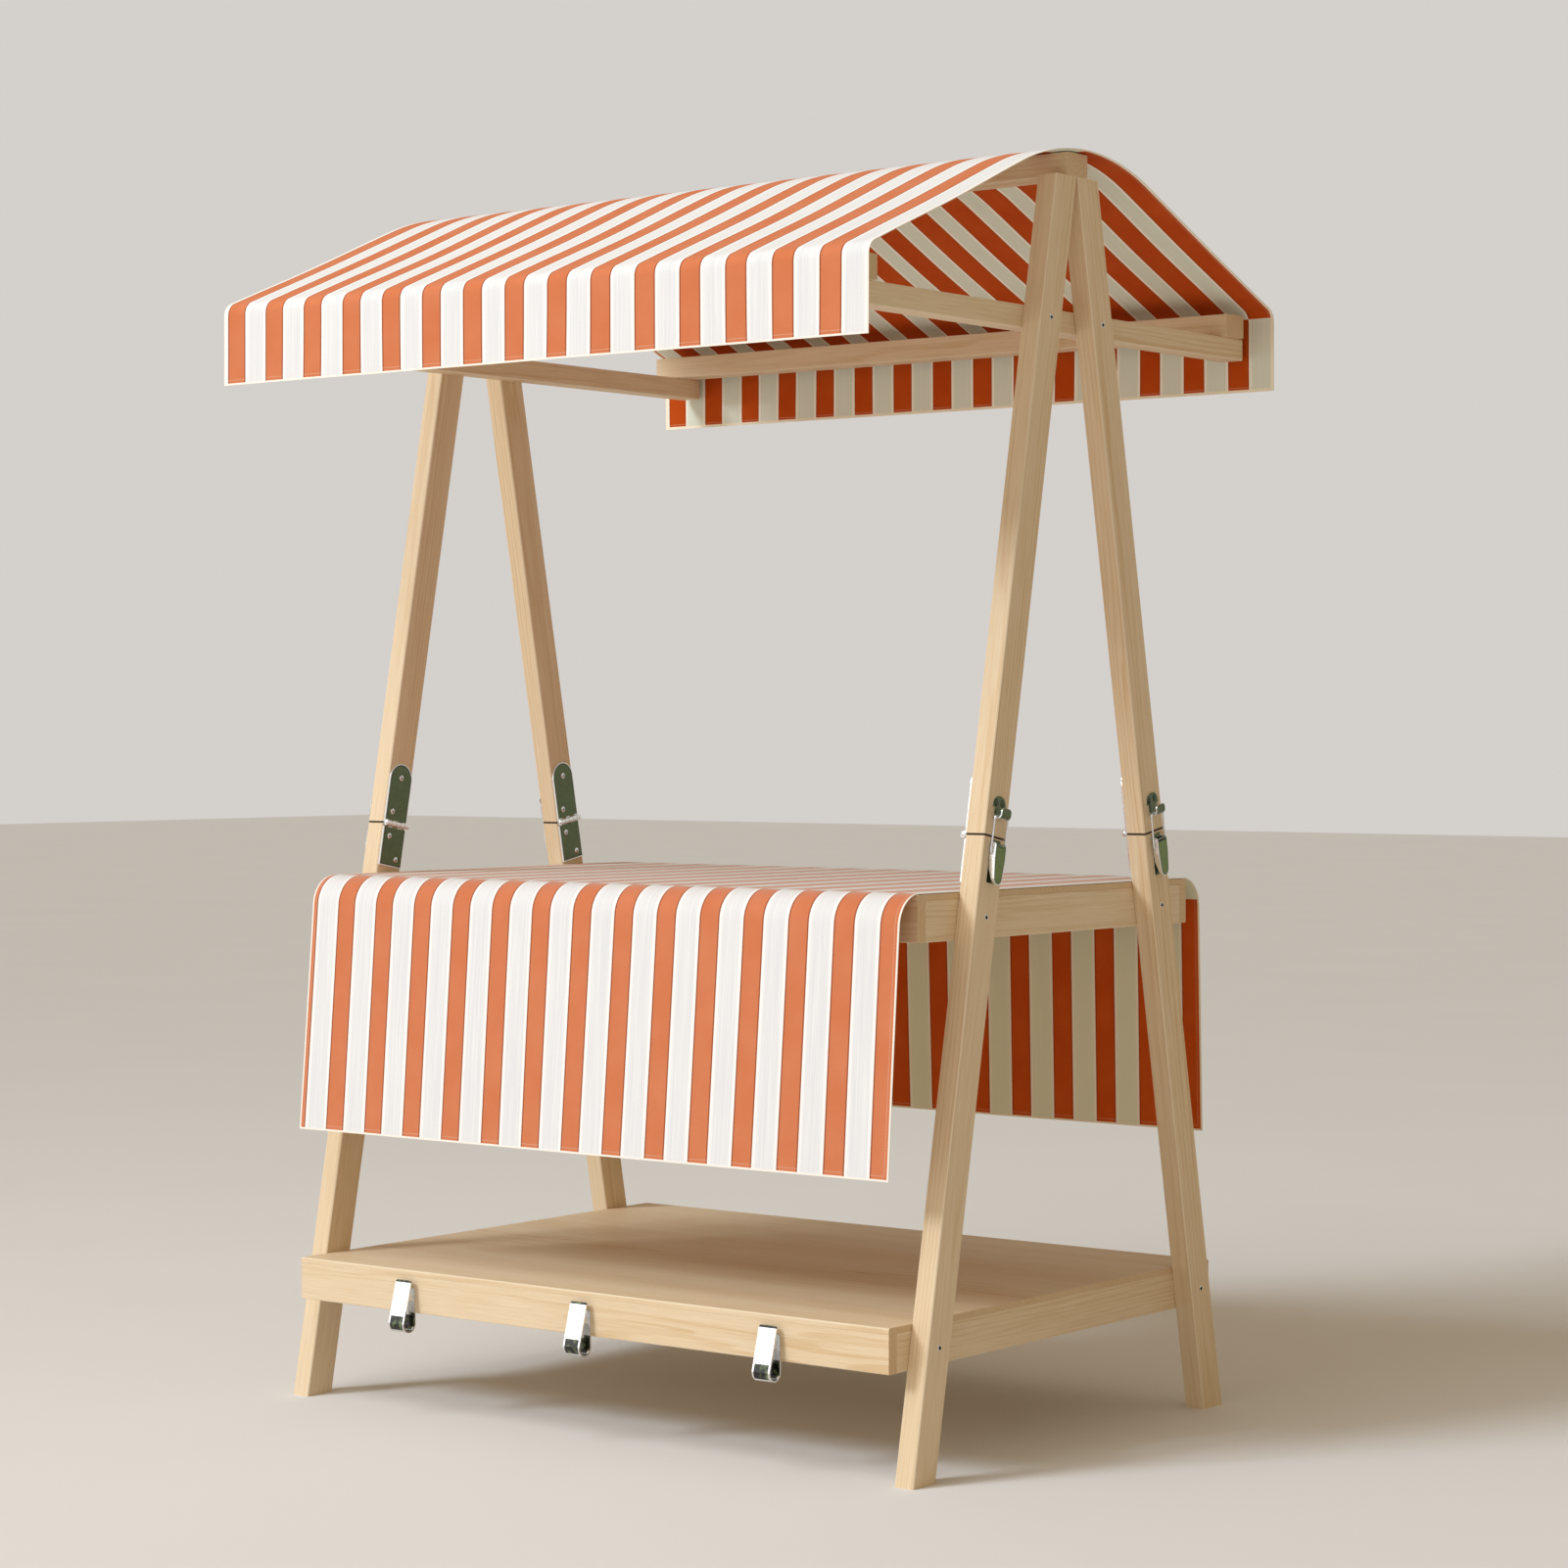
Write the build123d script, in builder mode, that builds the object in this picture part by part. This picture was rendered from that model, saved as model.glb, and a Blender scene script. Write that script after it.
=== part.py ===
from build123d import *
import os
from math import acos, atan2, cos, hypot, radians, sin, sqrt, tan

# Wooden market stall with a striped canopy and a striped counter cloth.
# The origin is on the floor under the middle of the stall.
# X runs along the ridge, the front of the stall faces -Y and Z points up.

# Leg frames
clear_width = 1200.0        # between the inner faces of the two leg frames
foot_spread = 864.0         # outer edge of a front foot to outer edge of a rear foot
leg_height = 1952.0
leg_width = 56.0            # seen from the end of the stall
leg_thickness = 34.0        # along X
leg_edge_chamfer = 1.5
leg_meeting_gap = 2.0       # between the two legs where they meet at the top
seam_above_counter = 87.0   # joint in a leg above the counter, at the leg's outer edge
seam_gap = 1.0

# Roof timbers
ridge_width = 55.0
ridge_height = 36.0
cross_rail_height = 35.0
cross_rail_thickness = 40.0
cross_rail_end = 12.0       # cross rails past the outer faces of the eave rails
eave_rail_width = 53.0
eave_rail_height = 37.0
eave_rail_end = 9.0         # eave rails past the inner faces of the leg frames
eave_rail_gap = 24.0        # rail's outer face to the valance
eave_rail_clearance = 14.0  # rail's top under the slope of the cloth
timber_edge_chamfer = 1.2

# Canopy cloth
canopy_overhang = 18.0      # past the outer faces of the legs
canopy_depth = 1130.0
canopy_thickness = 3.0
canopy_slope = 22.8
canopy_ridge_radius = 450.0
canopy_bend_radius = 24.0
valance_drop = 129.0        # hem below the corner of the eaves
canopy_clearance = 0.3      # cloth above the edges of the ridge beam

# Counter
counter_height = 861.0
counter_depth = 746.0
counter_board_thickness = 9.0
apron_height = 62.0
apron_thickness = 20.0
board_edge_chamfer = 2.0

# Counter cloth
cloth_thickness = 2.0
cloth_clearance = 0.3       # cloth above the counter board
cloth_side_gap = 1.0        # from the cloth's side edges to the legs
cloth_bend_inset = 5.0      # the bend starts this far in from the board's edge
cloth_bend_radius = 50.0
cloth_hang_height = 415.0   # hem below the counter board
cloth_front_lean = 4.6
cloth_rear_lean = 1.7

# Bottom shelf
shelf_height = 233.0
shelf_depth = 890.0
shelf_board_thickness = 9.0
shelf_rail_height = 59.0
shelf_rail_thickness = 20.0

# Hooks on the shelf's front rail
hook_width = 33.0
hook_thickness = 2.5
hook_pitch = 372.0
hook_offset = 13.0          # middle hook from the middle of the stall
hook_plate_drop = 28.0      # top of the hook's plate below the shelf's top
hook_drop = 98.0            # bottom of the hook below the shelf's top
hook_depth = 28.0
hook_blade_height = 68.0    # straight part of the front blade
hook_tip_lean = 15.0        # blade leans back to the rail
hook_tip_radius = 4.0

# Strap hinges on the inner faces of the legs
hinge_width = 53.0
hinge_leaf_thickness = 2.5
hinge_upper_length = 104.0
hinge_lower_length = 72.0
hinge_barrel_radius = 5.0
hinge_barrel_seat = 0.3     # barrel above the leg's face
hinge_leaf_start = 6.5      # plain edge of a leaf from the middle of the barrel
hinge_tab_start = 1.5
hinge_knuckle_gap = 0.6

# Toggle latches on the outer faces of the legs
latch_plate_thickness = 2.0
latch_sheet = 1.5
latch_corner_radius = 3.0
base_width = 26.0
base_top = 4.0              # below the seam
base_length = 66.0
pivot_drop = 14.0           # lever's pivot below the seam
pivot_out = 8.4             # lever's pivot from the leg's outer face
ear_radius = 3.0
ear_foot_width = 14.0
ear_gap = 0.8               # between an ear and the lever's flange
pivot_pin_radius = 1.5
pivot_pin_end = 0.2         # pin past the lever's flanges
running_pin_clearance = 0.08
lever_width = 28.0
lever_end_width = 22.0
lever_half_height = 5.0     # pivot to the lever's outer face and to the edges of its flanges
lever_length = 58.0         # below the pivot
lever_sheet_drop = 2.0      # where the sheet between the flanges starts, below the pivot
lever_straight_length = 20.0  # full width below the pivot
lever_taper_length = 24.0   # where the flanges run out at the lower end
lever_end_step = 1.5        # flange left at the lower end
loop_pin_drop = 12.0        # loop's pivot below the lever's pivot
loop_pin_inset = 1.1        # loop's pivot nearer the leg than the lever's pivot
loop_bar_height = 30.0      # above the seam
loop_wire_radius = 1.5
loop_side_gap = 2.0         # between the wire and the lever's flange
loop_corner = 4.0           # wire's bends at the bar
loop_corner_step = 1.2
loop_end_bend = 2.0         # wire's bends at the pivot
catch_top = 62.0            # above the seam
catch_width = 34.0
catch_shoulder_height = 44.0
catch_corner_radius = 15.0
catch_hook_width = 24.0
catch_hook_radius = 6.4     # inside the hook
catch_lip_height = 8.0      # straight part above the hook's bend
catch_lip_radius = 6.0
catch_bar_gap = 0.3         # bar above the bottom of the hook

os.makedirs("parts", exist_ok=True)

half_clear = clear_width / 2
half_frame = half_clear + leg_thickness
half_foot = foot_spread / 2
seam_height = counter_height + seam_above_counter

# A leg leans inwards until its inner edge comes to the middle of the stall at the top.
lean_run = half_foot - leg_meeting_gap / 2
lean = acos(leg_width / hypot(lean_run, leg_height)) - atan2(leg_height, lean_run)
leg_level_width = leg_width / cos(lean)
seam_run = leg_width * cos(lean)
seam_fall = leg_width * sin(lean)
seam_center_height = seam_height - seam_fall / 2
seam_center_depth = half_foot - tan(lean) * seam_height - seam_run / 2

length_tolerance = 0.01     # for picking out edges by their length
sides = {"left": -1, "right": 1}
ends = {"front": -1, "rear": 1}


def save(builder, label):
    """Name a finished piece and write its STEP file."""
    builder.part.label = label
    export_step(builder.part, f"parts/{label}.step")


def outer_edge(height):
    """Distance of a leg's outer edge from the middle of the stall at a height."""
    return half_foot - tan(lean) * height


def seam_corners(height):
    """Outer and inner corner of a leg cut square to its length."""
    return [(outer_edge(height), height), (outer_edge(height) - seam_run, height - seam_fall)]


def level_corners(height):
    """Outer and inner corner of a leg cut level."""
    return [(outer_edge(height), height), (outer_edge(height) - leg_level_width, height)]


def save_leg(label, side, end, lower, upper):
    """Make one length of leg between two cuts and ease its long edges."""
    outline = [(end * depth, height) for depth, height in lower + upper[::-1]]
    with BuildPart() as leg:
        with BuildSketch(Plane.YZ.offset(side * half_clear)):
            with BuildLine():
                Polyline(outline, close=True)
            make_face()
        extrude(amount=side * leg_thickness)
        chamfer(leg.edges().sort_by(SortBy.LENGTH)[-4:], leg_edge_chamfer)
    save(leg, label)


def save_bar_along_x(label, length, middle, bottom, width, height):
    """Make a timber along X with its long edges eased."""
    with BuildPart() as bar:
        with BuildSketch(Plane.YZ.offset(-length / 2)):
            with Locations((middle, bottom)):
                Rectangle(width, height, align=(Align.CENTER, Align.MIN))
        extrude(amount=length)
        chamfer(bar.edges().filter_by(Axis.X), timber_edge_chamfer)
    save(bar, label)


def save_end_bar(label, side, length, bottom, thickness, height):
    """Make a timber along Y against the inner faces of one leg frame."""
    with BuildPart() as bar:
        with BuildSketch(Plane.YZ.offset(side * half_clear)):
            with Locations((0, bottom)):
                Rectangle(length, height, align=(Align.CENTER, Align.MIN))
        extrude(amount=-side * thickness)
        chamfer(bar.edges().filter_by(Axis.Y), timber_edge_chamfer)
    save(bar, label)


def save_board(label, depth, top, thickness):
    """Make a board between the leg frames with its top edges eased."""
    with BuildPart() as board:
        with BuildSketch(Plane.XY.offset(top - thickness)):
            Rectangle(clear_width, depth)
        extrude(amount=thickness)
        top_edges = board.edges().group_by(Axis.Z)[-1]
        chamfer(top_edges.filter_by(Axis.X), board_edge_chamfer)
    save(board, label)


def leg_plane(side, end, facing):
    """Plane on a leg's face in the middle of its seam; its Y runs up the leg.

    facing is 1 for the outer face and -1 for the inner face.
    """
    normal = side * facing
    face = half_frame if facing > 0 else half_clear
    return Plane(
        origin=(side * face, end * seam_center_depth, seam_center_height),
        x_dir=(0, normal * cos(lean), end * normal * sin(lean)),
        z_dir=(normal, 0, 0),
    )


def side_view(plane, across=0.0):
    """Plane that looks along a leg plane's X; its X runs up the leg and its Y out of the face."""
    return Plane(
        origin=plane.origin + plane.x_dir * across,
        x_dir=plane.y_dir,
        z_dir=plane.x_dir,
    )


# Legs, each in two lengths that meet at the hinge
for side_name, side in sides.items():
    for end_name, end in ends.items():
        foot = level_corners(0.0)
        seam_under = seam_corners(seam_height - seam_gap / 2)
        seam_over = seam_corners(seam_height + seam_gap / 2)
        head = level_corners(leg_height)
        save_leg(f"lower_leg_{end_name}_{side_name}", side, end, foot, seam_under)
        save_leg(f"upper_leg_{end_name}_{side_name}", side, end, seam_over, head)

# Ridge beam on top of the legs
save_bar_along_x("ridge_beam", 2 * half_frame, 0, leg_height, ridge_width, ridge_height)

# Canopy: valances, bends at the eaves and slopes that meet in a soft ridge over the beam
slope = radians(canopy_slope)
ridge_under_radius = canopy_ridge_radius - canopy_thickness
ridge_sag = ridge_under_radius - sqrt(ridge_under_radius**2 - (ridge_width / 2)**2)
canopy_top = leg_height + ridge_height + canopy_clearance + ridge_sag + canopy_thickness
slope_apex = canopy_top + canopy_ridge_radius * (1 / cos(slope) - 1)
half_canopy = canopy_depth / 2
eave_corner = slope_apex - half_canopy * tan(slope)
canopy_hem = eave_corner - valance_drop
half_canopy_length = half_frame + canopy_overhang
with BuildPart() as canopy:
    with BuildSketch(Plane.YZ.offset(-half_canopy_length)):
        with BuildLine() as canopy_line:
            Polyline(
                (-half_canopy, canopy_hem),
                (-half_canopy, eave_corner),
                (0, slope_apex),
                (half_canopy, eave_corner),
                (half_canopy, canopy_hem),
            )
            fillet(canopy_line.vertices().sort_by(Axis.Y)[-1], canopy_ridge_radius)
            fillet(canopy_line.vertices().group_by(Axis.Y)[1], canopy_bend_radius)
            offset(amount=canopy_thickness, side=Side.RIGHT)
        make_face()
    extrude(amount=2 * half_canopy_length)
save(canopy, "canopy")

# Eave rails under the cloth, on the ends of the cross rails of the leg frames
eave_rail_face = half_canopy - canopy_thickness - eave_rail_gap
cloth_over_rail = slope_apex - canopy_thickness / cos(slope) - eave_rail_face * tan(slope)
cross_rail_top = cloth_over_rail - eave_rail_clearance - eave_rail_height
for end_name, end in ends.items():
    save_bar_along_x(
        f"eave_rail_{end_name}", clear_width + 2 * eave_rail_end,
        end * (eave_rail_face - eave_rail_width / 2),
        cross_rail_top, eave_rail_width, eave_rail_height,
    )
for side_name, side in sides.items():
    save_end_bar(
        f"cross_rail_{side_name}", side, 2 * (eave_rail_face + cross_rail_end),
        cross_rail_top - cross_rail_height, cross_rail_thickness, cross_rail_height,
    )

# Counter: four aprons with a board on them
apron_bottom = counter_height - counter_board_thickness - apron_height
apron_middle = (counter_depth - apron_thickness) / 2
for end_name, end in ends.items():
    save_bar_along_x(
        f"counter_apron_{end_name}", clear_width, end * apron_middle,
        apron_bottom, apron_thickness, apron_height,
    )
for side_name, side in sides.items():
    save_end_bar(
        f"counter_apron_{side_name}", side, counter_depth - 2 * apron_thickness,
        apron_bottom, apron_thickness, apron_height,
    )
save_board("counter_top", counter_depth, counter_height, counter_board_thickness)

# Counter cloth: flat on the board, bent over its front and rear edges and hanging down
cloth_top = counter_height + cloth_clearance + cloth_thickness
cloth_hem = counter_height - cloth_hang_height
cloth_bend_start = counter_depth / 2 - cloth_bend_inset
front_lean = radians(cloth_front_lean)
rear_lean = radians(cloth_rear_lean)
front_corner = cloth_bend_start + cloth_bend_radius * tan((radians(90) - front_lean) / 2)
rear_corner = cloth_bend_start + cloth_bend_radius * tan((radians(90) - rear_lean) / 2)
front_hem = front_corner + (cloth_top - cloth_hem) * tan(front_lean)
rear_hem = rear_corner + (cloth_top - cloth_hem) * tan(rear_lean)
cloth_length = clear_width - 2 * cloth_side_gap
with BuildPart() as table_cloth:
    with BuildSketch(Plane.YZ.offset(-cloth_length / 2)):
        with BuildLine() as cloth_line:
            Polyline(
                (-front_hem, cloth_hem),
                (-front_corner, cloth_top),
                (rear_corner, cloth_top),
                (rear_hem, cloth_hem),
            )
            fillet(cloth_line.vertices().group_by(Axis.Y)[-1], cloth_bend_radius)
            offset(amount=cloth_thickness, side=Side.RIGHT)
        make_face()
    extrude(amount=cloth_length)
save(table_cloth, "table_cloth")

# Bottom shelf: four rails with a board on them
shelf_rail_bottom = shelf_height - shelf_board_thickness - shelf_rail_height
shelf_rail_middle = (shelf_depth - shelf_rail_thickness) / 2
for end_name, end in ends.items():
    save_bar_along_x(
        f"shelf_rail_{end_name}", clear_width, end * shelf_rail_middle,
        shelf_rail_bottom, shelf_rail_thickness, shelf_rail_height,
    )
for side_name, side in sides.items():
    save_end_bar(
        f"shelf_rail_{side_name}", side, shelf_depth - 2 * shelf_rail_thickness,
        shelf_rail_bottom, shelf_rail_thickness, shelf_rail_height,
    )
save_board("shelf_board", shelf_depth, shelf_height, shelf_board_thickness)

# Strap hooks: a plate on the front rail, a turn below it and a blade that rises in front
hook_face = -shelf_depth / 2 - hook_thickness / 2
hook_plate_top = shelf_height - hook_plate_drop
hook_bottom = shelf_height - hook_drop
hook_turn_radius = (hook_depth - hook_thickness) / 2
hook_turn_height = hook_bottom + hook_thickness / 2 + hook_turn_radius
for index, hook_name in enumerate(["left", "middle", "right"]):
    hook_middle = hook_offset + (index - 1) * hook_pitch
    with BuildPart() as hook:
        with BuildLine(Plane.YZ.offset(hook_middle)) as hook_path:
            plate_line = Line((hook_face, hook_plate_top), (hook_face, hook_turn_height))
            turn = JernArc(plate_line @ 1, plate_line % 1, hook_turn_radius, -180 - hook_tip_lean)
            PolarLine(turn @ 1, hook_blade_height, direction=turn % 1)
        with BuildSketch(Plane(origin=hook_path.line @ 0, x_dir=(1, 0, 0), z_dir=hook_path.line % 0)):
            Rectangle(hook_width, hook_thickness)
        sweep()
        end_corners = hook.edges().filter_by(
            lambda edge: abs(edge.length - hook_thickness) < length_tolerance
        )
        fillet(end_corners, hook_tip_radius)
    save(hook, f"shelf_hook_{hook_name}")

# Strap hinges: an upper and a lower leaf whose knuckles share a barrel on the leg's seam
knuckle_count = 5
barrel_out = hinge_barrel_radius + hinge_barrel_seat
knuckle_length = (hinge_width - (knuckle_count - 1) * hinge_knuckle_gap) / knuckle_count
knuckle_pitch = knuckle_length + hinge_knuckle_gap
upper_knuckles = [-2 * knuckle_pitch, 0, 2 * knuckle_pitch]
lower_knuckles = [-knuckle_pitch, knuckle_pitch]
upper_plate_length = hinge_upper_length - hinge_width / 2 - hinge_leaf_start
lower_plate_length = hinge_lower_length - hinge_leaf_start
hinge_leaves = [
    ("hinge_upper_leaves", 1, upper_plate_length, upper_knuckles),
    ("hinge_lower_leaves", -1, lower_plate_length, lower_knuckles),
]
for leaf_name, direction, plate_length, knuckles in hinge_leaves:
    away_from_barrel = Align.MIN if direction > 0 else Align.MAX
    tab_places = [(across, direction * hinge_tab_start) for across in knuckles]
    with BuildPart() as leaves:
        for side in sides.values():
            for end in ends.values():
                face = leg_plane(side, end, -1)
                with BuildSketch(face):
                    with Locations((0, direction * hinge_leaf_start)):
                        Rectangle(hinge_width, plate_length, align=(Align.CENTER, away_from_barrel))
                    if direction > 0:
                        with Locations((0, hinge_leaf_start + plate_length)):
                            Circle(hinge_width / 2)
                    with Locations(tab_places):
                        Rectangle(
                            knuckle_length, hinge_leaf_start,
                            align=(Align.CENTER, away_from_barrel),
                        )
                extrude(amount=hinge_leaf_thickness)
                for across in knuckles:
                    with BuildSketch(side_view(face, across)):
                        with Locations((0, barrel_out)):
                            Circle(hinge_barrel_radius)
                    extrude(amount=knuckle_length / 2, both=True)
    save(leaves, leaf_name)

# Toggle latches: base with two ears, lever, wire loop and catch
ear_outside = lever_width / 2 - latch_sheet - ear_gap
loop_pin_up = -pivot_drop - loop_pin_drop
loop_pin_out = pivot_out - loop_pin_inset
hook_center_out = latch_plate_thickness + catch_hook_radius
hook_center_up = loop_bar_height + catch_hook_radius - loop_wire_radius - catch_bar_gap
lip_top = hook_center_up + catch_lip_height + latch_plate_thickness / 2
loop_half_width = lever_width / 2 + loop_side_gap + loop_wire_radius
loop_rise = loop_bar_height - loop_pin_up
loop_lean_out = hook_center_out - loop_pin_out
loop_length = hypot(loop_rise, loop_lean_out)
lever_face = pivot_out + lever_half_height
lever_edge = pivot_out - lever_half_height
lever_end = -pivot_drop - lever_length
pin_half_length = lever_width / 2 + pivot_pin_end

with BuildPart() as latch_bases:
    for side in sides.values():
        for end in ends.values():
            face = leg_plane(side, end, 1)
            with BuildSketch(face):
                with Locations((0, -base_top)):
                    RectangleRounded(
                        base_width, base_length, latch_corner_radius,
                        align=(Align.CENTER, Align.MAX),
                    )
            extrude(amount=latch_plate_thickness)
            for ear_side in (-1, 1):
                with BuildSketch(side_view(face, ear_side * (ear_outside - latch_sheet / 2))):
                    with Locations((-pivot_drop, pivot_out)):
                        Circle(ear_radius)
                    with Locations((-pivot_drop, 0)):
                        Rectangle(
                            ear_foot_width, latch_plate_thickness,
                            align=(Align.CENTER, Align.MIN),
                        )
                    make_hull()
                extrude(amount=latch_sheet / 2, both=True)
            with BuildSketch(side_view(face)):
                with Locations((-pivot_drop, pivot_out)):
                    Circle(pivot_pin_radius)
            extrude(amount=pin_half_length, both=True)
save(latch_bases, "latch_bases")

with BuildPart() as latch_catches:
    for side in sides.values():
        for end in ends.values():
            face = leg_plane(side, end, 1)
            with BuildSketch(face) as catch_plate:
                with Locations((0, hook_center_up)):
                    Rectangle(
                        catch_hook_width, catch_shoulder_height - hook_center_up,
                        align=(Align.CENTER, Align.MIN),
                    )
                with Locations((0, catch_shoulder_height)):
                    Rectangle(
                        catch_width, catch_top - catch_shoulder_height,
                        align=(Align.CENTER, Align.MIN),
                    )
                fillet(catch_plate.vertices().group_by(Axis.Y)[-1], catch_corner_radius)
            extrude(amount=latch_plate_thickness)
            with BuildSketch(side_view(face)):
                with BuildLine() as catch_line:
                    plate_end = Line(
                        (catch_shoulder_height, latch_plate_thickness / 2),
                        (hook_center_up, latch_plate_thickness / 2),
                    )
                    hook_turn = JernArc(
                        plate_end @ 1, plate_end % 1,
                        catch_hook_radius + latch_plate_thickness / 2, -180,
                    )
                    Line(hook_turn @ 1, hook_turn @ 1 + (catch_lip_height, 0))
                    offset(amount=latch_plate_thickness / 2, side=Side.BOTH)
                make_face()
            extrude(amount=catch_hook_width / 2, both=True)
            with BuildSketch(face.offset(hook_center_out)):
                with Locations((0, lip_top)):
                    Rectangle(2 * catch_hook_width, 2 * catch_lip_radius)
                    RectangleRounded(
                        catch_hook_width, 3 * catch_lip_radius, catch_lip_radius,
                        align=(Align.CENTER, Align.MAX), mode=Mode.SUBTRACT,
                    )
            extrude(amount=hook_center_out, mode=Mode.SUBTRACT)
save(latch_catches, "latch_catches")


def save_lever(label, face):
    """Make a lever: a channel that narrows to a round lower end."""
    with BuildPart() as lever:
        with BuildSketch(side_view(face)):
            with BuildLine():
                Polyline(
                    (-pivot_drop, lever_face),
                    (lever_end, lever_face),
                    (lever_end, lever_face - latch_sheet - lever_end_step),
                    (lever_end + lever_taper_length, lever_edge),
                    (-pivot_drop, lever_edge),
                )
                ThreePointArc(
                    (-pivot_drop, lever_edge),
                    (-pivot_drop + lever_half_height, pivot_out),
                    (-pivot_drop, lever_face),
                )
            make_face()
        extrude(amount=lever_width / 2, both=True)
        with BuildSketch(face):
            with Locations((0, -pivot_drop + lever_half_height)):
                Rectangle(
                    lever_width, lever_half_height + lever_straight_length,
                    align=(Align.CENTER, Align.MAX),
                )
            with Locations((0, lever_end + lever_end_width / 2)):
                Circle(lever_end_width / 2)
            make_hull()
        extrude(amount=lever_face, mode=Mode.INTERSECT)
        with BuildSketch(face):
            with Locations((0, -pivot_drop + lever_half_height)):
                Rectangle(
                    lever_width - 2 * latch_sheet, lever_half_height + lever_straight_length,
                    align=(Align.CENTER, Align.MAX),
                )
            with Locations((0, lever_end + lever_end_width / 2)):
                Circle(lever_end_width / 2 - latch_sheet)
            make_hull()
        extrude(amount=lever_face - latch_sheet, mode=Mode.SUBTRACT)
        with BuildSketch(side_view(face)):
            with Locations((-pivot_drop - lever_sheet_drop, pivot_out)):
                Rectangle(
                    4 * lever_half_height, 4 * lever_half_height,
                    align=(Align.MIN, Align.CENTER),
                )
        extrude(amount=lever_width / 2 - latch_sheet, both=True, mode=Mode.SUBTRACT)
        with BuildSketch(side_view(face)):
            with Locations((-pivot_drop, pivot_out)):
                Circle(pivot_pin_radius + running_pin_clearance)
            with Locations((loop_pin_up, loop_pin_out)):
                Circle(loop_wire_radius + running_pin_clearance)
        extrude(amount=lever_width, both=True, mode=Mode.SUBTRACT)
    save(lever, label)


def save_loop(label, face):
    """Make a wire loop with its two ends bent in through the lever's flanges."""
    tilt = atan2(loop_lean_out, loop_rise)
    loop_plane = Plane(
        origin=face.from_local_coords((0, loop_pin_up, loop_pin_out)),
        x_dir=face.x_dir,
        z_dir=face.z_dir * cos(tilt) - face.y_dir * sin(tilt),
    )
    wire_end = lever_width / 2 - latch_sheet
    half_side = [
        (wire_end, 0),
        (loop_half_width - loop_end_bend, 0),
        (loop_half_width, loop_end_bend),
        (loop_half_width, loop_length - loop_corner),
        (loop_half_width - loop_corner_step, loop_length - loop_corner_step),
        (loop_half_width - loop_corner, loop_length),
    ]
    other_side = [(-across, up) for across, up in half_side]
    with BuildPart() as loop:
        with BuildLine(loop_plane) as wire:
            Polyline(other_side + half_side[::-1])
        with BuildSketch(Plane(origin=wire.line @ 0, z_dir=wire.line % 0)):
            Circle(loop_wire_radius)
        sweep(transition=Transition.RIGHT)
    save(loop, label)


for side_name, side in sides.items():
    for end_name, end in ends.items():
        leg_face = leg_plane(side, end, 1)
        save_lever(f"latch_lever_{end_name}_{side_name}", leg_face)
        save_loop(f"latch_loop_{end_name}_{side_name}", leg_face)
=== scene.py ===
"""Blender 4.5 looks of the wooden market stall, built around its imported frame.

The frame's timbers and metal fittings keep their CAD shapes and get node materials. The canopy and the
counter cloth are cut flat here, folded over the rails and given their thickness, and the screws and
rivet heads are added. X runs along the ridge, the customers stand on the -Y side and Z is up. Sizes are
written in millimetres.
"""

import logging
import math
from collections.abc import Callable, Iterable, Mapping, Sequence
from dataclasses import dataclass, replace
from enum import Enum
from functools import partial

import bmesh
import bpy
from bmesh.types import BMesh, BMVert
from bpy.types import Material, Node, NodeSocket, NodeTree, Object
from mathutils import Euler, Matrix, Vector

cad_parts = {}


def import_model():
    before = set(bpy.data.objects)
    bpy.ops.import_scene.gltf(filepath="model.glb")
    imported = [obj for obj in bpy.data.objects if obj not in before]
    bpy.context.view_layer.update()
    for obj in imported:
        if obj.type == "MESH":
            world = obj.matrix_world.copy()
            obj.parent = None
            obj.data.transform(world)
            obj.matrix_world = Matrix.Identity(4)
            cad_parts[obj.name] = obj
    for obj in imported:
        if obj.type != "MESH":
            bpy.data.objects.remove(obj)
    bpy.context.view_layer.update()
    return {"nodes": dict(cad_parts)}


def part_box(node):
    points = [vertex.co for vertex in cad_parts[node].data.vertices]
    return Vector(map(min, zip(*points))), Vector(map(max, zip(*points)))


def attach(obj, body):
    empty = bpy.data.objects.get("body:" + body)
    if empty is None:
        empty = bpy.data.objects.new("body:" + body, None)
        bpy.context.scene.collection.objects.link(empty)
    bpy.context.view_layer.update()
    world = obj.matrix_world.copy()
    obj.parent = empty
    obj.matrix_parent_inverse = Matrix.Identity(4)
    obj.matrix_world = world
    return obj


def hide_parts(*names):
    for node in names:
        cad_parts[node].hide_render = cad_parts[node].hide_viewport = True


MM = 0.001  # metres in a millimetre
FRAME_BODY = "frame"
CUT_UV = "cut"  # the cloths' UV map: metres across and along the cloth as it was cut
SLOPE_OF_LEG = 0.19159  # how far a leg leans in for each unit that it rises
LEG_LEAN = math.atan(SLOPE_OF_LEG)
LEG_SEAM = (222.874, 942.731)  # how far out and up the middle of each leg's seam is
CORNERS = ("front_left", "front_right", "rear_left", "rear_right")
CREASE = math.radians(40)  # from which an edge of a screw's or rivet's head is drawn sharp

log = logging.getLogger("market_stall")

Colour = tuple[float, float, float, float]
Pair = tuple[float, float]
Triple = tuple[float, float, float]
Names = tuple[str, ...]
Noise = tuple[float, ...]  # a noise's scale, detail and roughness
Inputs = Sequence[object] | Mapping[str, object]
Adder = Callable[..., Node]  # add_node with its tree set


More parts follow.
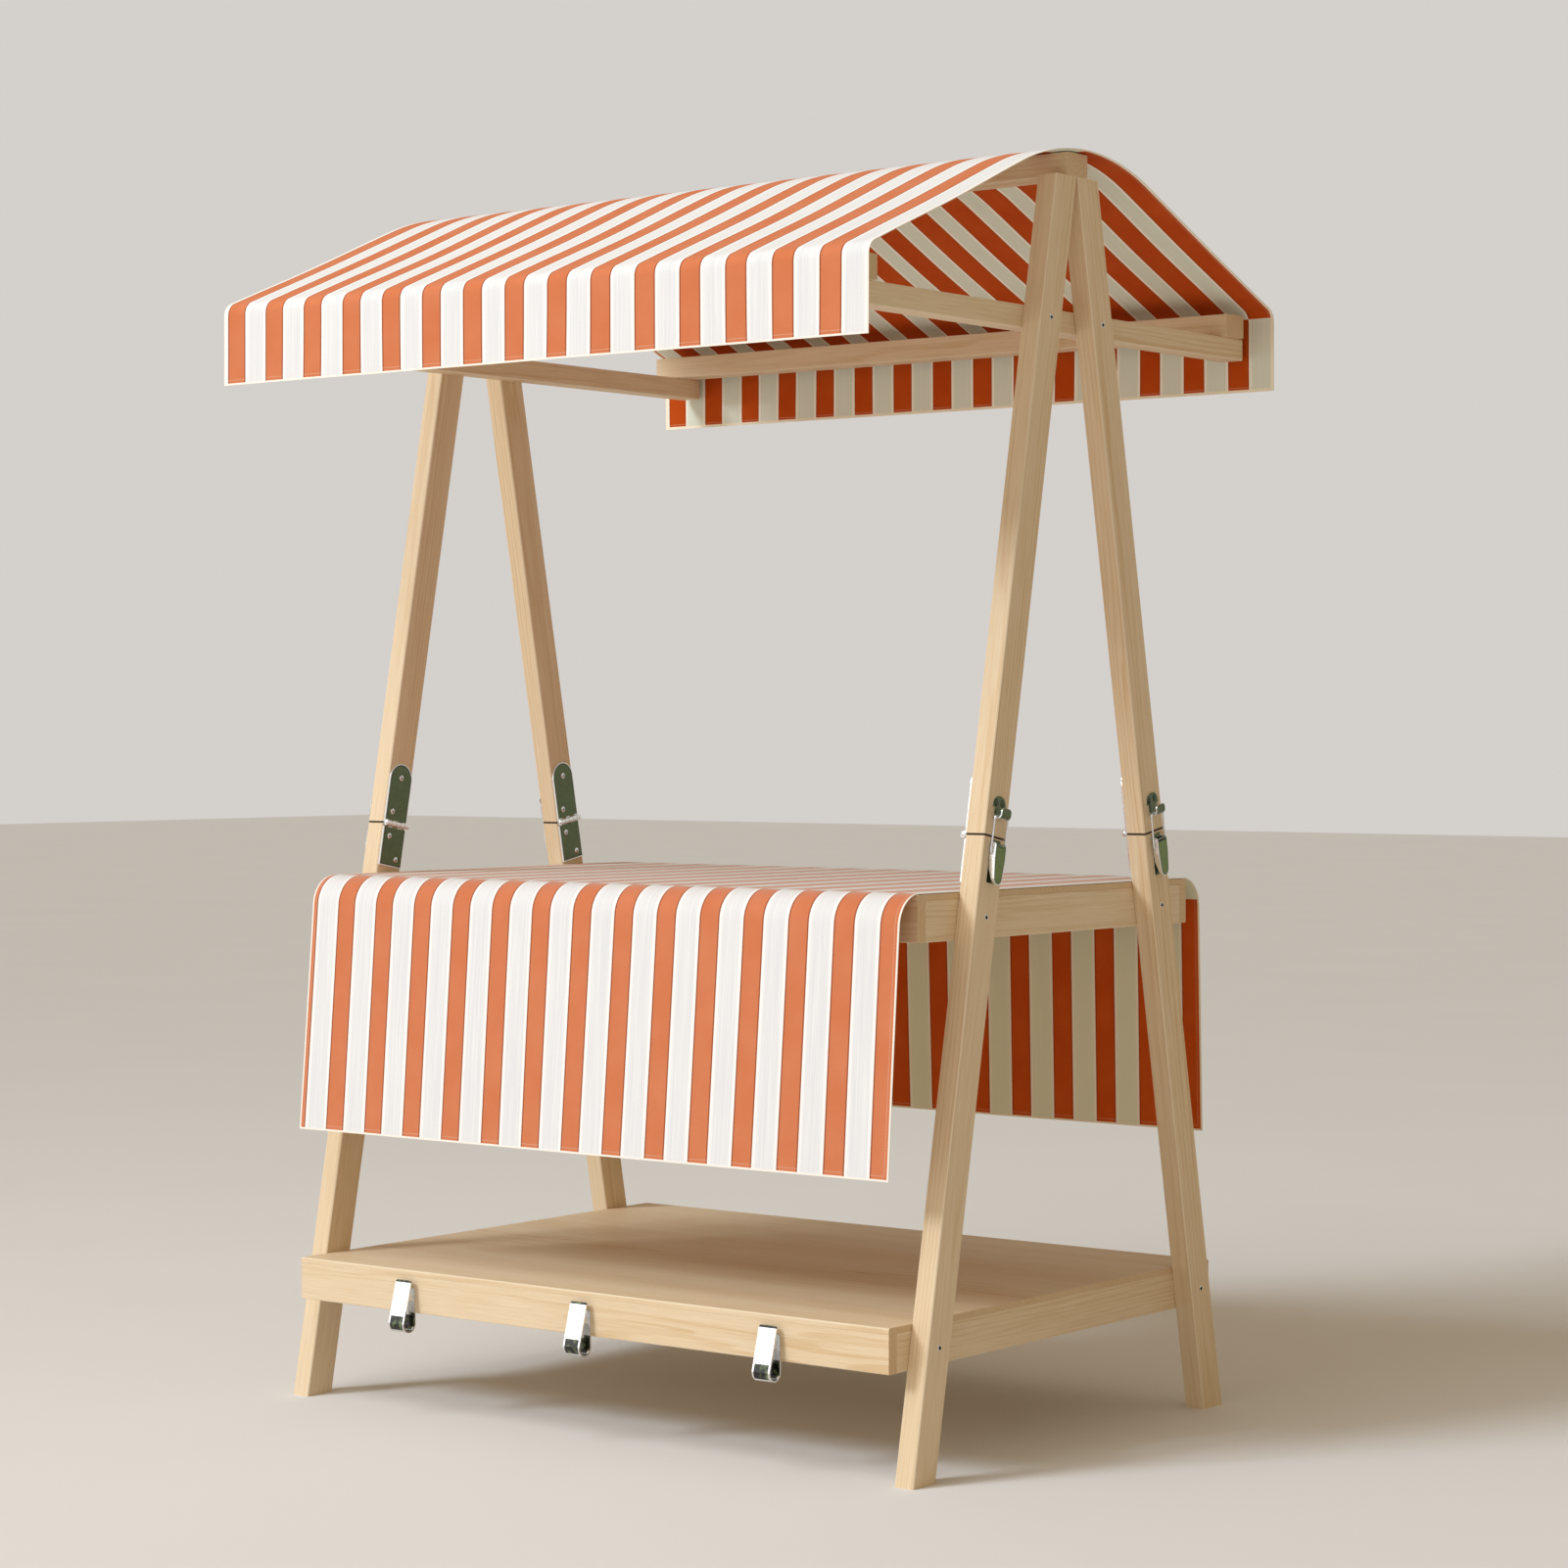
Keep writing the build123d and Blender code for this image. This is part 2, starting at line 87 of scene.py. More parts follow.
def linear(hex_colour: str) -> Colour:
    """Turns an sRGB colour into the linear one that shaders take.

    Args:
        hex_colour: Six hex digits, such as "E38452".

    Returns:
        Linear red, green and blue with an alpha of one.
    """
    shares = [int(hex_colour[i : i + 2], 16) / 255 for i in (0, 2, 4)]
    red, green, blue = (c / 12.92 if c <= 0.04045 else ((c + 0.055) / 1.055) ** 2.4 for c in shares)
    return red, green, blue, 1.0


def add_node(
    tree: NodeTree, kind: str, inputs: Inputs = (), operation: str | None = None, **settings: object
) -> Node:
    """Adds one shader node with its settings and links.

    Args:
        tree: The material's node tree.
        kind: The node's type without Blender's "ShaderNode", such as "Math".
        inputs: What goes into its inputs, by their names or else in their order: a value, an sRGB hex
            colour, an output socket, or a node for its first output. The order of a TexNoise's inputs
            is its place, scale, detail and roughness, and of a MapRange's its value, what that lies
            between, and what it is turned into.
        operation: Which of its operations a Math or VectorMath node does, such as "ADD".
        settings: The node's other properties, such as data_type="RGBA".

    Returns:
        The new node.
    """
    node = tree.nodes.new(f"ShaderNode{kind}")
    if operation is not None:
        node.operation = operation
    for name, setting in settings.items():
        setattr(node, name, setting)
    if isinstance(inputs, Mapping):
        pairs = [(node.inputs[name], value) for name, value in inputs.items()]
    else:
        pairs = zip([socket for socket in node.inputs if socket.enabled], inputs)
    for socket, value in pairs:
        if isinstance(value, Node):
            value = next(output for output in value.outputs if output.enabled)
        if isinstance(value, NodeSocket):
            tree.links.new(value, socket)
        else:
            socket.default_value = linear(value) if isinstance(value, str) else value
    return node


def make_piece(name: str, mesh: BMesh, finishes: Sequence["Finish"]) -> Object:
    """Makes a finished object from a bmesh, with its place in its mesh.

    Args:
        name: The piece's name.
        mesh: Its bmesh, in metres in the frame's coordinates, which is freed.
        finishes: The finish of each material slot.

    Returns:
        The new object, linked to the scene.
    """
    data = bpy.data.meshes.new(name)
    mesh.to_mesh(data)
    mesh.free()
    for finish in finishes:
        data.materials.append(finish.material())
    piece = bpy.data.objects.new(name, data)
    bpy.context.scene.collection.objects.link(piece)
    return piece


# Finishes


@dataclass(frozen=True)
class Finish:
    """A surface finish that makes its material once, and hands out the same one after that."""

    name: str

    def material(self) -> Material:
        """Gives the finish's node material, which is made on the first call."""
        known = bpy.data.materials.get(self.name)
        if known is not None:
            return known
        made = bpy.data.materials.new(self.name)
        made.use_nodes = True
        made.node_tree.nodes.clear()
        add = partial(add_node, made.node_tree)
        add("OutputMaterial", {"Surface": self.surface(add)})
        return made

    def surface(self, add: Adder) -> Node:
        """Builds the finish's nodes.

        Args:
            add: Adds a node to the finish's tree.

        Returns:
            The shader.
        """
        raise NotImplementedError


@dataclass(frozen=True)
class CanvasColours:
    """The colours of one side of the striped canvas, as sRGB hex: the yarn's own on top, painted shade
    underneath.
    """

    orange: str
    orange_worn: str
    white: str
    white_shade: str
    outline: str
    border: str
    margin: Pair  # where a white stripe's bright margin fades into its middle
    sheen: float
    shine: float  # specular level
    evenness: float = 0.45  # how much of the whites' shade lies between its streaks


@dataclass(frozen=True)
class StripedCanvas(Finish):
    """One side of acrylic canvas, dyed in the yarn and woven plain.

    It gives the eye a matt, even cloth with crisp stripes, a fine thread grain, faint grey streaks along
    the middles of the white stripes, a dark selvedge thread beside each orange stripe and a pale bound
    edge with a sunken row of stitches.
    """

    colours: CanvasColours
    half_width: float
    length: float
    first_orange: float  # where one orange stripe starts, across from the middle
    period: float
    orange_width: float
    swapped: Pair  # where the sewn-in panel, with its colours changed over, starts and ends
    border_width: float
    outline_width: float = 2.6
    thread_pitch: float = 1.7  # a real thread is 0.5 mm, too fine for the render, so it is drawn coarser
    slub_detail: float = 1.0
    thread_light: Pair = (0.93, 1.03)  # between the threads and on them
    weave_share: float = 0.35  # of the grain, beside the yarn's own unevenness
    weave_depth: float = 0.12
    weave_relief: float = 0.35
    streak_noise: Noise = (1 / (4.0 * MM), 2.0, 0.6)
    streak_squeeze: float = 0.02  # which draws the streaks out along the stripes
    streak_range: Pair = (0.3, 0.65)
    cloud_noise: Noise = (14.0, 3.0)  # clouds some 70 mm across
    cloud_range: Pair = (0.35, 0.7)
    grain_range: Pair = (0.1, 0.9)
    roughness: Pair = (0.92, 0.78)
    sheen_roughness: float = 0.4
    stitch_row: float = 8.0  # from the cut edge to the row of stitches
    stitch_half_width: float = 0.6
    stitch_length: float = 4.5
    stitch_share: float = 0.36  # half of a stitch's share of that length
    stitch_rise: float = 2.0
    thread: str = "EFE3D0"
    thread_shows: float = 0.3  # it has sunk into the cloth and taken its colour

    def surface(self, add: Adder) -> Node:
        """Builds stripes, outline, border, stitches and weave on the cloth's cut coordinates.

        Args:
            add: Adds a node to the finish's tree.

        Returns:
            The shader.
        """
        yarn, period, share = self.colours, self.period, self.orange_width / self.period
        cut = add("UVMap", uv_map=CUT_UV)
        across, along, _ = add("SeparateXYZ", (cut,)).outputs
        offset = -self.first_orange / period
        count = add("Math", (across, 1 / (period * MM), offset), "MULTIPLY_ADD")
        place = add("Math", (count,), "FRACT")
        orange = add("Math", (place, share), "LESS_THAN")
        after = add("Math", (along, self.swapped[0] * MM), "GREATER_THAN")
        before = add("Math", (along, self.swapped[1] * MM), "LESS_THAN")
        panel = add("Math", (after, before), "MULTIPLY")
        changed = add("Math", (orange, panel), "SUBTRACT")
        is_orange = add("Math", (changed,), "ABSOLUTE")

        # Distance to the nearest stripe edge, in stripe periods
        to_start = add("Math", (place, 0.5), "PINGPONG")
        past_end = add("Math", (place, share), "SUBTRACT")
        to_end = add("Math", (past_end,), "ABSOLUTE")
        to_edge = add("Math", (to_start, to_end), "MINIMUM")
        near_edge = add("Math", (to_edge, self.outline_width / period), "LESS_THAN")
        outline = add("Math", (near_edge, is_orange), "MULTIPLY")

        # Long grey streaks along the middles of the white stripes, and a slow cloud that mottles the
        # orange
        streak_place = add("Mapping", {"Vector": cut, "Scale": (1.0, self.streak_squeeze, 1.0)})
        streaks = add("TexNoise", (streak_place, *self.streak_noise))
        cloud = add("TexNoise", (cut, *self.cloud_noise))
        fade = [edge / period for edge in yarn.margin]
        middle = add("MapRange", (to_edge, *fade), interpolation_type="SMOOTHSTEP")
        streaked = add("MapRange", (streaks, *self.streak_range, yarn.evenness))
        shade = add("Math", (streaked, middle), "MULTIPLY")
        worn = add("MapRange", (cloud, *self.cloud_range))
        white = add("Mix", (shade, yarn.white, yarn.white_shade), data_type="RGBA")
        dyed = add("Mix", (worn, yarn.orange, yarn.orange_worn), data_type="RGBA")
        cloth = add("Mix", (is_orange, white, dyed), data_type="RGBA")

        # The bound edge, all round the cut
        from_middle = add("Math", (across,), "ABSOLUTE")
        to_side = add("Math", (self.half_width * MM, from_middle), "SUBTRACT")
        to_far_hem = add("Math", (self.length * MM, along), "SUBTRACT")
        to_hem = add("Math", (along, to_far_hem), "MINIMUM")
        to_border = add("Math", (to_side, to_hem), "MINIMUM")
        border = add("Math", (to_border, self.border_width * MM), "LESS_THAN")

        # The lockstitch that holds the bound edge, a broken line beside it
        row = (to_border, self.stitch_row * MM, self.stitch_half_width * MM)
        on_row = add("Math", row, "COMPARE")
        run = add("Math", (across, along), "ADD")
        in_stitch = add("Math", (run, self.stitch_length / 2 * MM), "PINGPONG")
        half_stitch = self.stitch_length * self.stitch_share * MM
        on_thread = add("Math", (in_stitch, half_stitch), "LESS_THAN")
        stitch = add("Math", (on_row, on_thread), "MULTIPLY")
        showing = add("Math", (stitch, self.thread_shows), "MULTIPLY")
        for where, colour in ((outline, yarn.outline), (border, yarn.border), (showing, self.thread)):
            cloth = add("Mix", (where, cloth, colour), data_type="RGBA")

        # The plain weave: threads over and under each other in both directions
        waves = []
        for direction in (across, along):
            turn = add("Math", (direction, math.tau / (self.thread_pitch * MM)), "MULTIPLY")
            waves.append(add("Math", (turn,), "SINE"))
        weave = add("Math", waves, "MULTIPLY")
        slub = add("TexNoise", (cut, 1 / (self.thread_pitch * MM), self.slub_detail))
        grain = add("Math", (weave, self.weave_share, slub), "MULTIPLY_ADD")
        light = add("MapRange", (grain, *self.grain_range, *self.thread_light))
        woven = add("Mix", (1.0, cloth, light), data_type="RGBA", blend_type="MULTIPLY")
        gloss = add("MapRange", (grain, 0.0, 1.0, *self.roughness))
        raised = add("Math", (stitch, self.stitch_rise, grain), "MULTIPLY_ADD")
        relief = {"Strength": self.weave_relief, "Distance": self.weave_depth * MM, "Height": raised}
        return add(
            "BsdfPrincipled",
            {
                "Base Color": woven,
                "Roughness": gloss,
                "Specular IOR Level": yarn.shine,
                "Sheen Weight": yarn.sheen,
                "Sheen Roughness": self.sheen_roughness,
                "Normal": add("Bump", relief),
            },
        )


def on_the_leg(add: Adder, place: NodeSocket) -> tuple[Node, Node]:
    """Adds nodes for where on its leg a point lies.

    Args:
        add: Adds a node to the finish's tree.
        place: The point's Object coordinates.

    Returns:
        How far outwards from the leg's middle line and how far up from its seam it is, in metres.
    """
    _, y, z = add("SeparateXYZ", (place,)).outputs
    outwards = add("Math", (y,), "ABSOLUTE")
    sine, cosine = math.sin(LEG_LEAN), math.cos(LEG_LEAN)
    out, up = LEG_SEAM
    distances = []
    for out_share, up_share, zero in (
        (cosine, sine, -(out * cosine + up * sine)),
        (-sine, cosine, out * sine - up * cosine),
    ):
        rise = add("Math", (z, up_share, zero * MM), "MULTIPLY_ADD")
        distances.append(add("Math", (outwards, out_share, rise), "MULTIPLY_ADD"))
    return tuple(distances)


@dataclass(frozen=True)
class PlanedPine(Finish):
    """Pine, planed, sanded and oiled clear.

    It gives the eye a pale honey wood with straight, slightly darker latewood lines along each stick,
    arcs of the same rings and a browner tone on its sawn ends, and eased edges painted paler as the
    highlight that they catch.
    """

    turn: Triple  # Euler angles that set the grain upright
    middle: Triple  # the piece's middle once turned, in metres
    heart: Pair  # where the log's heart lies from that middle
    seamed: bool  # whether it is a length of a leg, with a dark line where it meets the other length
    early: str = "EBD8BA"
    late: str = "D2B183"
    end: str = "C8A67A"
    # the painted highlight on the eased edges
    edge: str = "F6EAD2"
    ring_pitch: float = 7.5  # pine's rings are 2 to 4 mm apart, drawn wider so that they show
    ring_start: float = 0.35  # how dark the wood is where one ring ends and the next starts
    ring_tones: tuple[Pair, ...] = ((0.12, 0.0), (0.6, 0.18), (0.86, 0.95))  # where in a ring, how dark
    ring_depth: Pair = (0.05, 0.42)  # how far the rings show, from place to place
    fibre_noise: Noise = (1 / (1.6 * MM), 3.0, 0.65)  # real fibres are far finer: these show as bundles
    fibre_squeeze: float = 0.018  # which draws the fibres out along the grain
    fibre_range: Pair = (0.35, 0.68)
    fibre_depth: float = 0.42
    tone_noise: Noise = (0.7, 2.0)  # tones half as long again as the wander
    tone_range: Pair = (0.35, 0.65)
    tone_depth: float = 0.35
    wander: float = 2.2  # how many rings the lines stray, which also spaces them unevenly
    wander_scale: Triple = (26.0, 26.0, 1.5)  # some 40 mm across the grain and 700 mm along it
    wander_noise: Noise = (1.0, 2.0)
    square_on: Pair = (0.9, 0.97)  # the cosines between which a face counts as square
    painted_highlight: float = 0.45  # how pale the eased edges are painted, as their highlight
    sawn: float = 0.55  # how brown the ends are
    relief: float = 0.15
    relief_strength: float = 0.3
    roughness: Pair = (0.48, 0.66)
    shine: float = 0.2  # specular level
    seam_colour: str = "3A2A1A"
    seam_dark: Pair = (1.4, 2.2)
    seam_depth: float = 0.92

    def surface(self, add: Adder) -> Node:
        """Builds rings, fibres, end grain and rubbed edges on the piece's own coordinates.

        Args:
            add: Adds a node to the finish's tree.

        Returns:
            The shader.
        """
        place = add("TexCoord").outputs
        shift = [heart * MM - middle for heart, middle in zip((*self.heart, 0.0), self.middle)]
        upright = add("Mapping", {"Vector": place["Object"], "Rotation": self.turn, "Location": shift})
        wander_place = add("Mapping", {"Vector": upright, "Scale": self.wander_scale})
        wander = add("TexNoise", (wander_place, *self.wander_noise))
        flat = add("VectorMath", (upright, (1.0, 1.0, 0.0)), "MULTIPLY")
        radius = add("VectorMath", (flat,), "LENGTH")
        rings = add("Math", (radius, 1 / (self.ring_pitch * MM)), "MULTIPLY")
        wandering = add("Math", (wander, self.wander * 2, rings), "MULTIPLY_ADD")
        ring = add("Math", (wandering,), "FRACT")
        lateness = add("FloatCurve", {"Value": ring})
        points = lateness.mapping.curves[0].points
        points[0].location = (0.0, self.ring_start)
        points[1].location = (1.0, self.ring_start)
        for where, lateness_there in self.ring_tones:
            points.new(where, lateness_there)
        lateness.mapping.update()

        fibre_place = add("Mapping", {"Vector": upright, "Scale": (1.0, 1.0, self.fibre_squeeze)})
        fibres = add("TexNoise", (fibre_place, *self.fibre_noise))
        tone = add("TexNoise", (wander_place, *self.tone_noise))
        fading = add("MapRange", (tone, *self.tone_range, *self.ring_depth))
        depth = add("Math", (lateness, fading), "MULTIPLY")
        streaks = add("MapRange", (fibres, *self.fibre_range, 0.0, self.fibre_depth))
        fibred = add("Math", (streaks, depth), "ADD")
        shade = (tone, self.tone_depth, fibred)
        toned = add("Math", shade, "MULTIPLY_ADD", use_clamp=True)
        wood = add("Mix", (toned, self.early, self.late), data_type="RGBA")

        # Sawn ends face along the grain, and eased edges face none of the piece's own directions
        normal = {"Vector": place["Normal"], "Rotation": self.turn}
        facing = add("Mapping", normal, vector_type="VECTOR")
        turned = add("VectorMath", (facing,), "ABSOLUTE")
        x, y, z = add("SeparateXYZ", (turned,)).outputs
        sides = add("Math", (x, y), "MAXIMUM")
        squarest = add("Math", (sides, z), "MAXIMUM")
        # painted highlight: the eased edges are painted paler
        edge_highlight = add("MapRange", (squarest, *self.square_on, self.painted_highlight, 0.0))
        sawn = add("MapRange", (z, *self.square_on, 0.0, self.sawn))
        layers = [(sawn, self.end), (edge_highlight, self.edge)]
        if self.seamed:
            _, up = on_the_leg(add, place["Object"])
            off = add("Math", (up,), "ABSOLUTE")
            gap = [edge * MM for edge in self.seam_dark]
            layers.append((add("MapRange", (off, *gap, self.seam_depth, 0.0)), self.seam_colour))
        for where, colour in layers:
            wood = add("Mix", (where, wood, colour), data_type="RGBA")
        relief = {"Strength": self.relief_strength, "Distance": self.relief * MM, "Height": fibred}
        return add(
            "BsdfPrincipled",
            {
                "Base Color": wood,
                "Roughness": add("MapRange", (toned, 0.0, 1.0, *self.roughness)),
                "Specular IOR Level": self.shine,
                "Normal": add("Bump", relief),
            },
        )


@dataclass(frozen=True)
class StrapOutline:
    """A strap's outline on its leg, measured from the leg's seam towards the strap's round end."""

    round_end: float  # the middle of the round end
    plain_end: float
    halves: Pair  # half its width before and after the taper
    taper: Pair = (0.0, 1.0)
    upward: bool = True


@dataclass(frozen=True)
class OliveZinc(Finish):
    """Pressed sheet steel, zinc plated, olive passivated and waxed.

    It gives the eye a dark green metal with a cloudy gloss, bare bright metal on its cut edges and sides,
    painted paler also as their highlight, and on a strap a painted highlight along its rolled rim, with a
    painted shade line inside it, and a painted highlight on its barrel next to the leg's seam.
    """

    face: str = "4C5A3C"
    cloud: str = "66714E"
    # bare zinc on cut edges and sides, also painted pale as their highlight
    bare: str = "F0F1EE"
    # the painted shade line inside a strap's rim
    painted_shade_line: str = "20261A"
    outline: StrapOutline | None = None
    barrel: float = 6.3  # how far from the legs' seam a strap's barrel gets its painted highlight
    # the width of the painted highlight along a strap's rim, and where its painted shade line fades
    rim: float = 1.6
    dark_rim: float = 4.6
    painted_shade_depth: float = 0.85  # how dark the painted shade line inside the rim is
    cut_edge: Pair = (0.3, 0.8)  # how much of a face's normal lies along x, on a cut edge and off it
    worn: float = 0.9  # how bare a cut edge is, painted paler also as its highlight
    cloud_noise: Noise = (70.0, 4.0, 0.6)  # clouds some 14 mm across
    scratch_noise: Noise = (1 / (0.625 * MM), 2.0)
    scratch_squeeze: float = 0.05  # which draws the scratches out upwards
    scratch_range: Pair = (0.3, 0.7)
    roughness: Pair = (0.18, 0.34)
    relief: float = 0.05
    relief_strength: float = 0.15
    metallic: float = 0.85
    wax_coat: Pair = (0.25, 0.12)  # its weight and roughness

    def surface(self, add: Adder) -> Node:
        """Builds the clouded plating with its bare edges, and a strap's painted highlights and painted
        shade line.

        Args:
            add: Adds a node to the finish's tree.

        Returns:
            The shader.
        """
        coordinates = add("TexCoord").outputs
        place = coordinates["Object"]
        facing, _, _ = add("SeparateXYZ", (coordinates["Normal"],)).outputs
        out = add("Math", (facing,), "ABSOLUTE")
        # bare zinc on cut edges and sides, painted paler also as their highlight
        bare = add("MapRange", (out, *self.cut_edge, self.worn, 0.0))
        clouds = add("TexNoise", (place, *self.cloud_noise))
        scratch_place = add("Mapping", {"Vector": place, "Scale": (1.0, 1.0, self.scratch_squeeze)})
        scratches = add("TexNoise", (scratch_place, *self.scratch_noise))
        colour = add("Mix", (clouds, self.face, self.cloud), data_type="RGBA")
        if self.outline is not None:
            colour, bare = self.strap(add, place, colour, bare)
        relief = {"Strength": self.relief_strength, "Distance": self.relief * MM, "Height": clouds}
        return add(
            "BsdfPrincipled",
            {
                "Base Color": add("Mix", (bare, colour, self.bare), data_type="RGBA"),
                "Metallic": self.metallic,
                "Roughness": add("MapRange", (scratches, *self.scratch_range, *self.roughness)),
                "Coat Weight": self.wax_coat[0],
                "Coat Roughness": self.wax_coat[1],
                "Normal": add("Bump", relief),
            },
        )

    def strap(self, add: Adder, place: NodeSocket, colour: Node, bare: Node) -> tuple[Node, Node]:
        """Adds a strap's painted highlights on its rim and barrel, and the painted shade line inside the
        rim.

        Args:
            add: Adds a node to the finish's tree.
            place: The Object coordinates.
            colour: The plating's colour.
            bare: How bare the metal is already.

        Returns:
            The plating's colour with the painted shade line, and how bare the metal is with the painted
            highlights on the rim and barrel.
        """
        line = self.outline
        across, up = on_the_leg(add, place)
        outwards = add("Math", (up, 1.0 if line.upward else -1.0), "MULTIPLY")
        ramp = [size * MM for size in (*line.taper, *line.halves)]
        half = add("MapRange", (outwards, *ramp))
        over_top = add("Math", (outwards, line.round_end * MM), "SUBTRACT")
        beyond = add("Math", (over_top, 0.0), "MAXIMUM")
        spot = add("CombineXYZ", (across, beyond))
        reach = add("VectorMath", (spot,), "LENGTH")
        to_side = add("Math", (half, reach), "SUBTRACT")
        to_foot = add("Math", (outwards, line.plain_end * MM), "SUBTRACT")
        to_rim = add("Math", (to_side, to_foot), "MINIMUM")
        # the painted shade line inside the rim, and painted highlights on the rim and the barrel
        painted_shade_line = add("MapRange", (to_rim, self.rim * MM, self.dark_rim * MM, self.painted_shade_depth, 0.0))
        lined = add("Mix", (painted_shade_line, colour, self.painted_shade_line), data_type="RGBA")
        rim_highlight = add("Math", (to_rim, self.rim * MM), "LESS_THAN")
        off_seam = add("Math", (up,), "ABSOLUTE")
        painted_highlight = add("Math", (off_seam, self.barrel * MM), "LESS_THAN")
        bright = add("Math", (rim_highlight, painted_highlight), "MAXIMUM")
        return lined, add("Math", (bare, bright), "MAXIMUM")


@dataclass(frozen=True)
class BrightPlate(Finish):
    """Steel, polished and plated, or painted near black as the shade in a recess.

    It gives the eye a mirror that takes the room's light, dulled a little by fine polishing lines and
    finger marks.
    """

    tint: str
    dulled: str
    roughness: Pair
    mark_size: float = 9.0
    mark_noise: Noise = (5.0, 0.65)  # without its scale
    tint_range: Pair = (0.35, 0.7)
    gloss_range: Pair = (0.3, 0.75)

    def surface(self, add: Adder) -> Node:
        """Builds the plating with its marks.

        Args:
            add: Adds a node to the finish's tree.

        Returns:
            The shader.
        """
        place = add("TexCoord").outputs["Object"]
        marks = add("TexNoise", (place, 1 / (self.mark_size * MM), *self.mark_noise))
        amount = add("MapRange", (marks, *self.tint_range))
        plate = add("Mix", (amount, self.tint, self.dulled), data_type="RGBA")
        gloss = add("MapRange", (marks, *self.gloss_range, *self.roughness))
        return add("BsdfPrincipled", {"Base Color": plate, "Metallic": 1.0, "Roughness": gloss})


@dataclass(frozen=True)
class HookPlatePaintedShadowAndReflection(BrightPlate):
    """Bright plate on a strap hook, brushed with bottle green enamel on its tip and in its bend.

    It gives the eye a white blade that ends above and below in nearly black, glossy paint with painted
    green glints in it, and a bright rim round the bend.
    """

    tip_above: float = 214.6  # height from which the tip gets its painted shadow
    bend: Pair = (139.5, 162.0)  # heights between which the bend gets its painted dark reflection
    half: float = 13.6  # half the width of the painted dark
    middle: float = 13.0  # across to the middle hook
    spacing: float = 372.0
    # near black paint: the painted shadow on the tip and the painted dark reflection in the bend
    painted_dark: str = "12150F"
    # its painted green glints
    painted_glint: str = "6E7D52"
    painted_glint_noise: Noise = (110.0, 1.0)  # painted glints some 9 mm across
    painted_dark_roughness: float = 0.16
    # how much of the painted glint shows
    painted_glint_share: Pair = (0.5, 0.72)

    def surface(self, add: Adder) -> Node:
        """Builds the plating with the painted shadow and dark reflection over it.

        Args:
            add: Adds a node to the finish's tree.

        Returns:
            The shader.
        """
        plate = super().surface(add)
        place = add("TexCoord").outputs["Object"]
        x, _, height = add("SeparateXYZ", (place,)).outputs
        # Where the painted shadow on the tip and the painted dark reflection in the bend go
        tip = add("Math", (height, self.tip_above * MM), "GREATER_THAN")
        across = add("Math", (x, self.middle * MM), "SUBTRACT")
        from_hook = add("Math", (across, self.spacing / 2 * MM), "PINGPONG")
        inside = add("Math", (from_hook, self.half * MM), "LESS_THAN")
        over = add("Math", (height, self.bend[0] * MM), "GREATER_THAN")
        under = add("Math", (height, self.bend[1] * MM), "LESS_THAN")
        between = add("Math", (over, under), "MULTIPLY")
        in_bend = add("Math", (between, inside), "MULTIPLY")
        painted_dark_mask = add("Math", (in_bend, tip), "MAXIMUM")
        painted_glint_spots = add("TexNoise", (place, *self.painted_glint_noise))
        painted_glint_share = add("MapRange", (painted_glint_spots, *self.painted_glint_share))
        colour = add("Mix", (painted_glint_share, self.painted_dark, self.painted_glint), data_type="RGBA")
        painted_dark = add("BsdfPrincipled", {"Base Color": colour, "Roughness": self.painted_dark_roughness})
        return add("MixShader", (painted_dark_mask, plate, painted_dark))


@dataclass(frozen=True)
class StudioPaint(Finish):
    """The floor's matt paint, pale and even with a faint mottle, which isn't part of the object."""

    colour: str
    mottle: str
    mottle_noise: Noise = (1.5, 2.0)  # spots some 700 mm across
    roughness: float = 0.9
    shine: float = 0.1  # specular level

    def surface(self, add: Adder) -> Node:
        """Builds the paint.

        Args:
            add: Adds a node to the finish's tree.

        Returns:
            The shader.
        """
        spots = add("TexNoise", (add("TexCoord").outputs["Object"], *self.mottle_noise))
        paint = add("Mix", (spots, self.colour, self.mottle), data_type="RGBA")
        matt = {"Base Color": paint, "Roughness": self.roughness, "Specular IOR Level": self.shine}
        return add("BsdfPrincipled", matt)


CHROME = BrightPlate("polished_chrome_plated_steel", "F2F3F4", "D5D8DB", (0.05, 0.16))
# chrome hooks with painted shadow on their tips and painted dark reflection in their bends
HOOK_CHROME = HookPlatePaintedShadowAndReflection("chrome_hook_steel_painted_shadow_and_reflection", "F4F5F6", "DCDFE2", (0.06, 0.18))
NICKEL = BrightPlate("turned_nickel_plated_steel", "F2F1EE", "CFCDC8", (0.12, 0.28))
# near black, painted as the shade inside the screws' cross recesses
RECESS_PAINTED_SHADE = BrightPlate("screw_recess_painted_shade", "1A1917", "2B2925", (0.4, 0.6))
OLIVE_DOME = BrightPlate("black_olive_plated_dome", "3E4A3A", "55604A", (0.06, 0.14), 6.0)
OLIVE_SHEET = OliveZinc("olive_passivated_zinc_sheet")
OLIVE_HINGE = OliveZinc(
    "olive_passivated_zinc_hinge",
    outline=StrapOutline(round_end=77.5, plain_end=-72.0, halves=(26.5, 26.5)),
)
OLIVE_LEVER = OliveZinc(
    "olive_passivated_zinc_lever",
    face="566A38",
    cloud="7E9054",
    outline=StrapOutline(61.0, plain_end=8.5, halves=(14.0, 11.0), taper=(34.0, 61.0), upward=False),
    rim=1.3,
    dark_rim=4.0,
)
SUNNY_SIDE = CanvasColours(
    orange="D0784F",
    orange_worn="D48059",
    white="F6F4F1",
    white_shade="E1E1E2",
    outline="9E5432",
    border="F6F0E4",
    margin=(3.5, 7.5),
    sheen=0.1,
    shine=0.0,
)
COUNTER_SUNNY_SIDE = replace(SUNNY_SIDE, sheen=0.7)
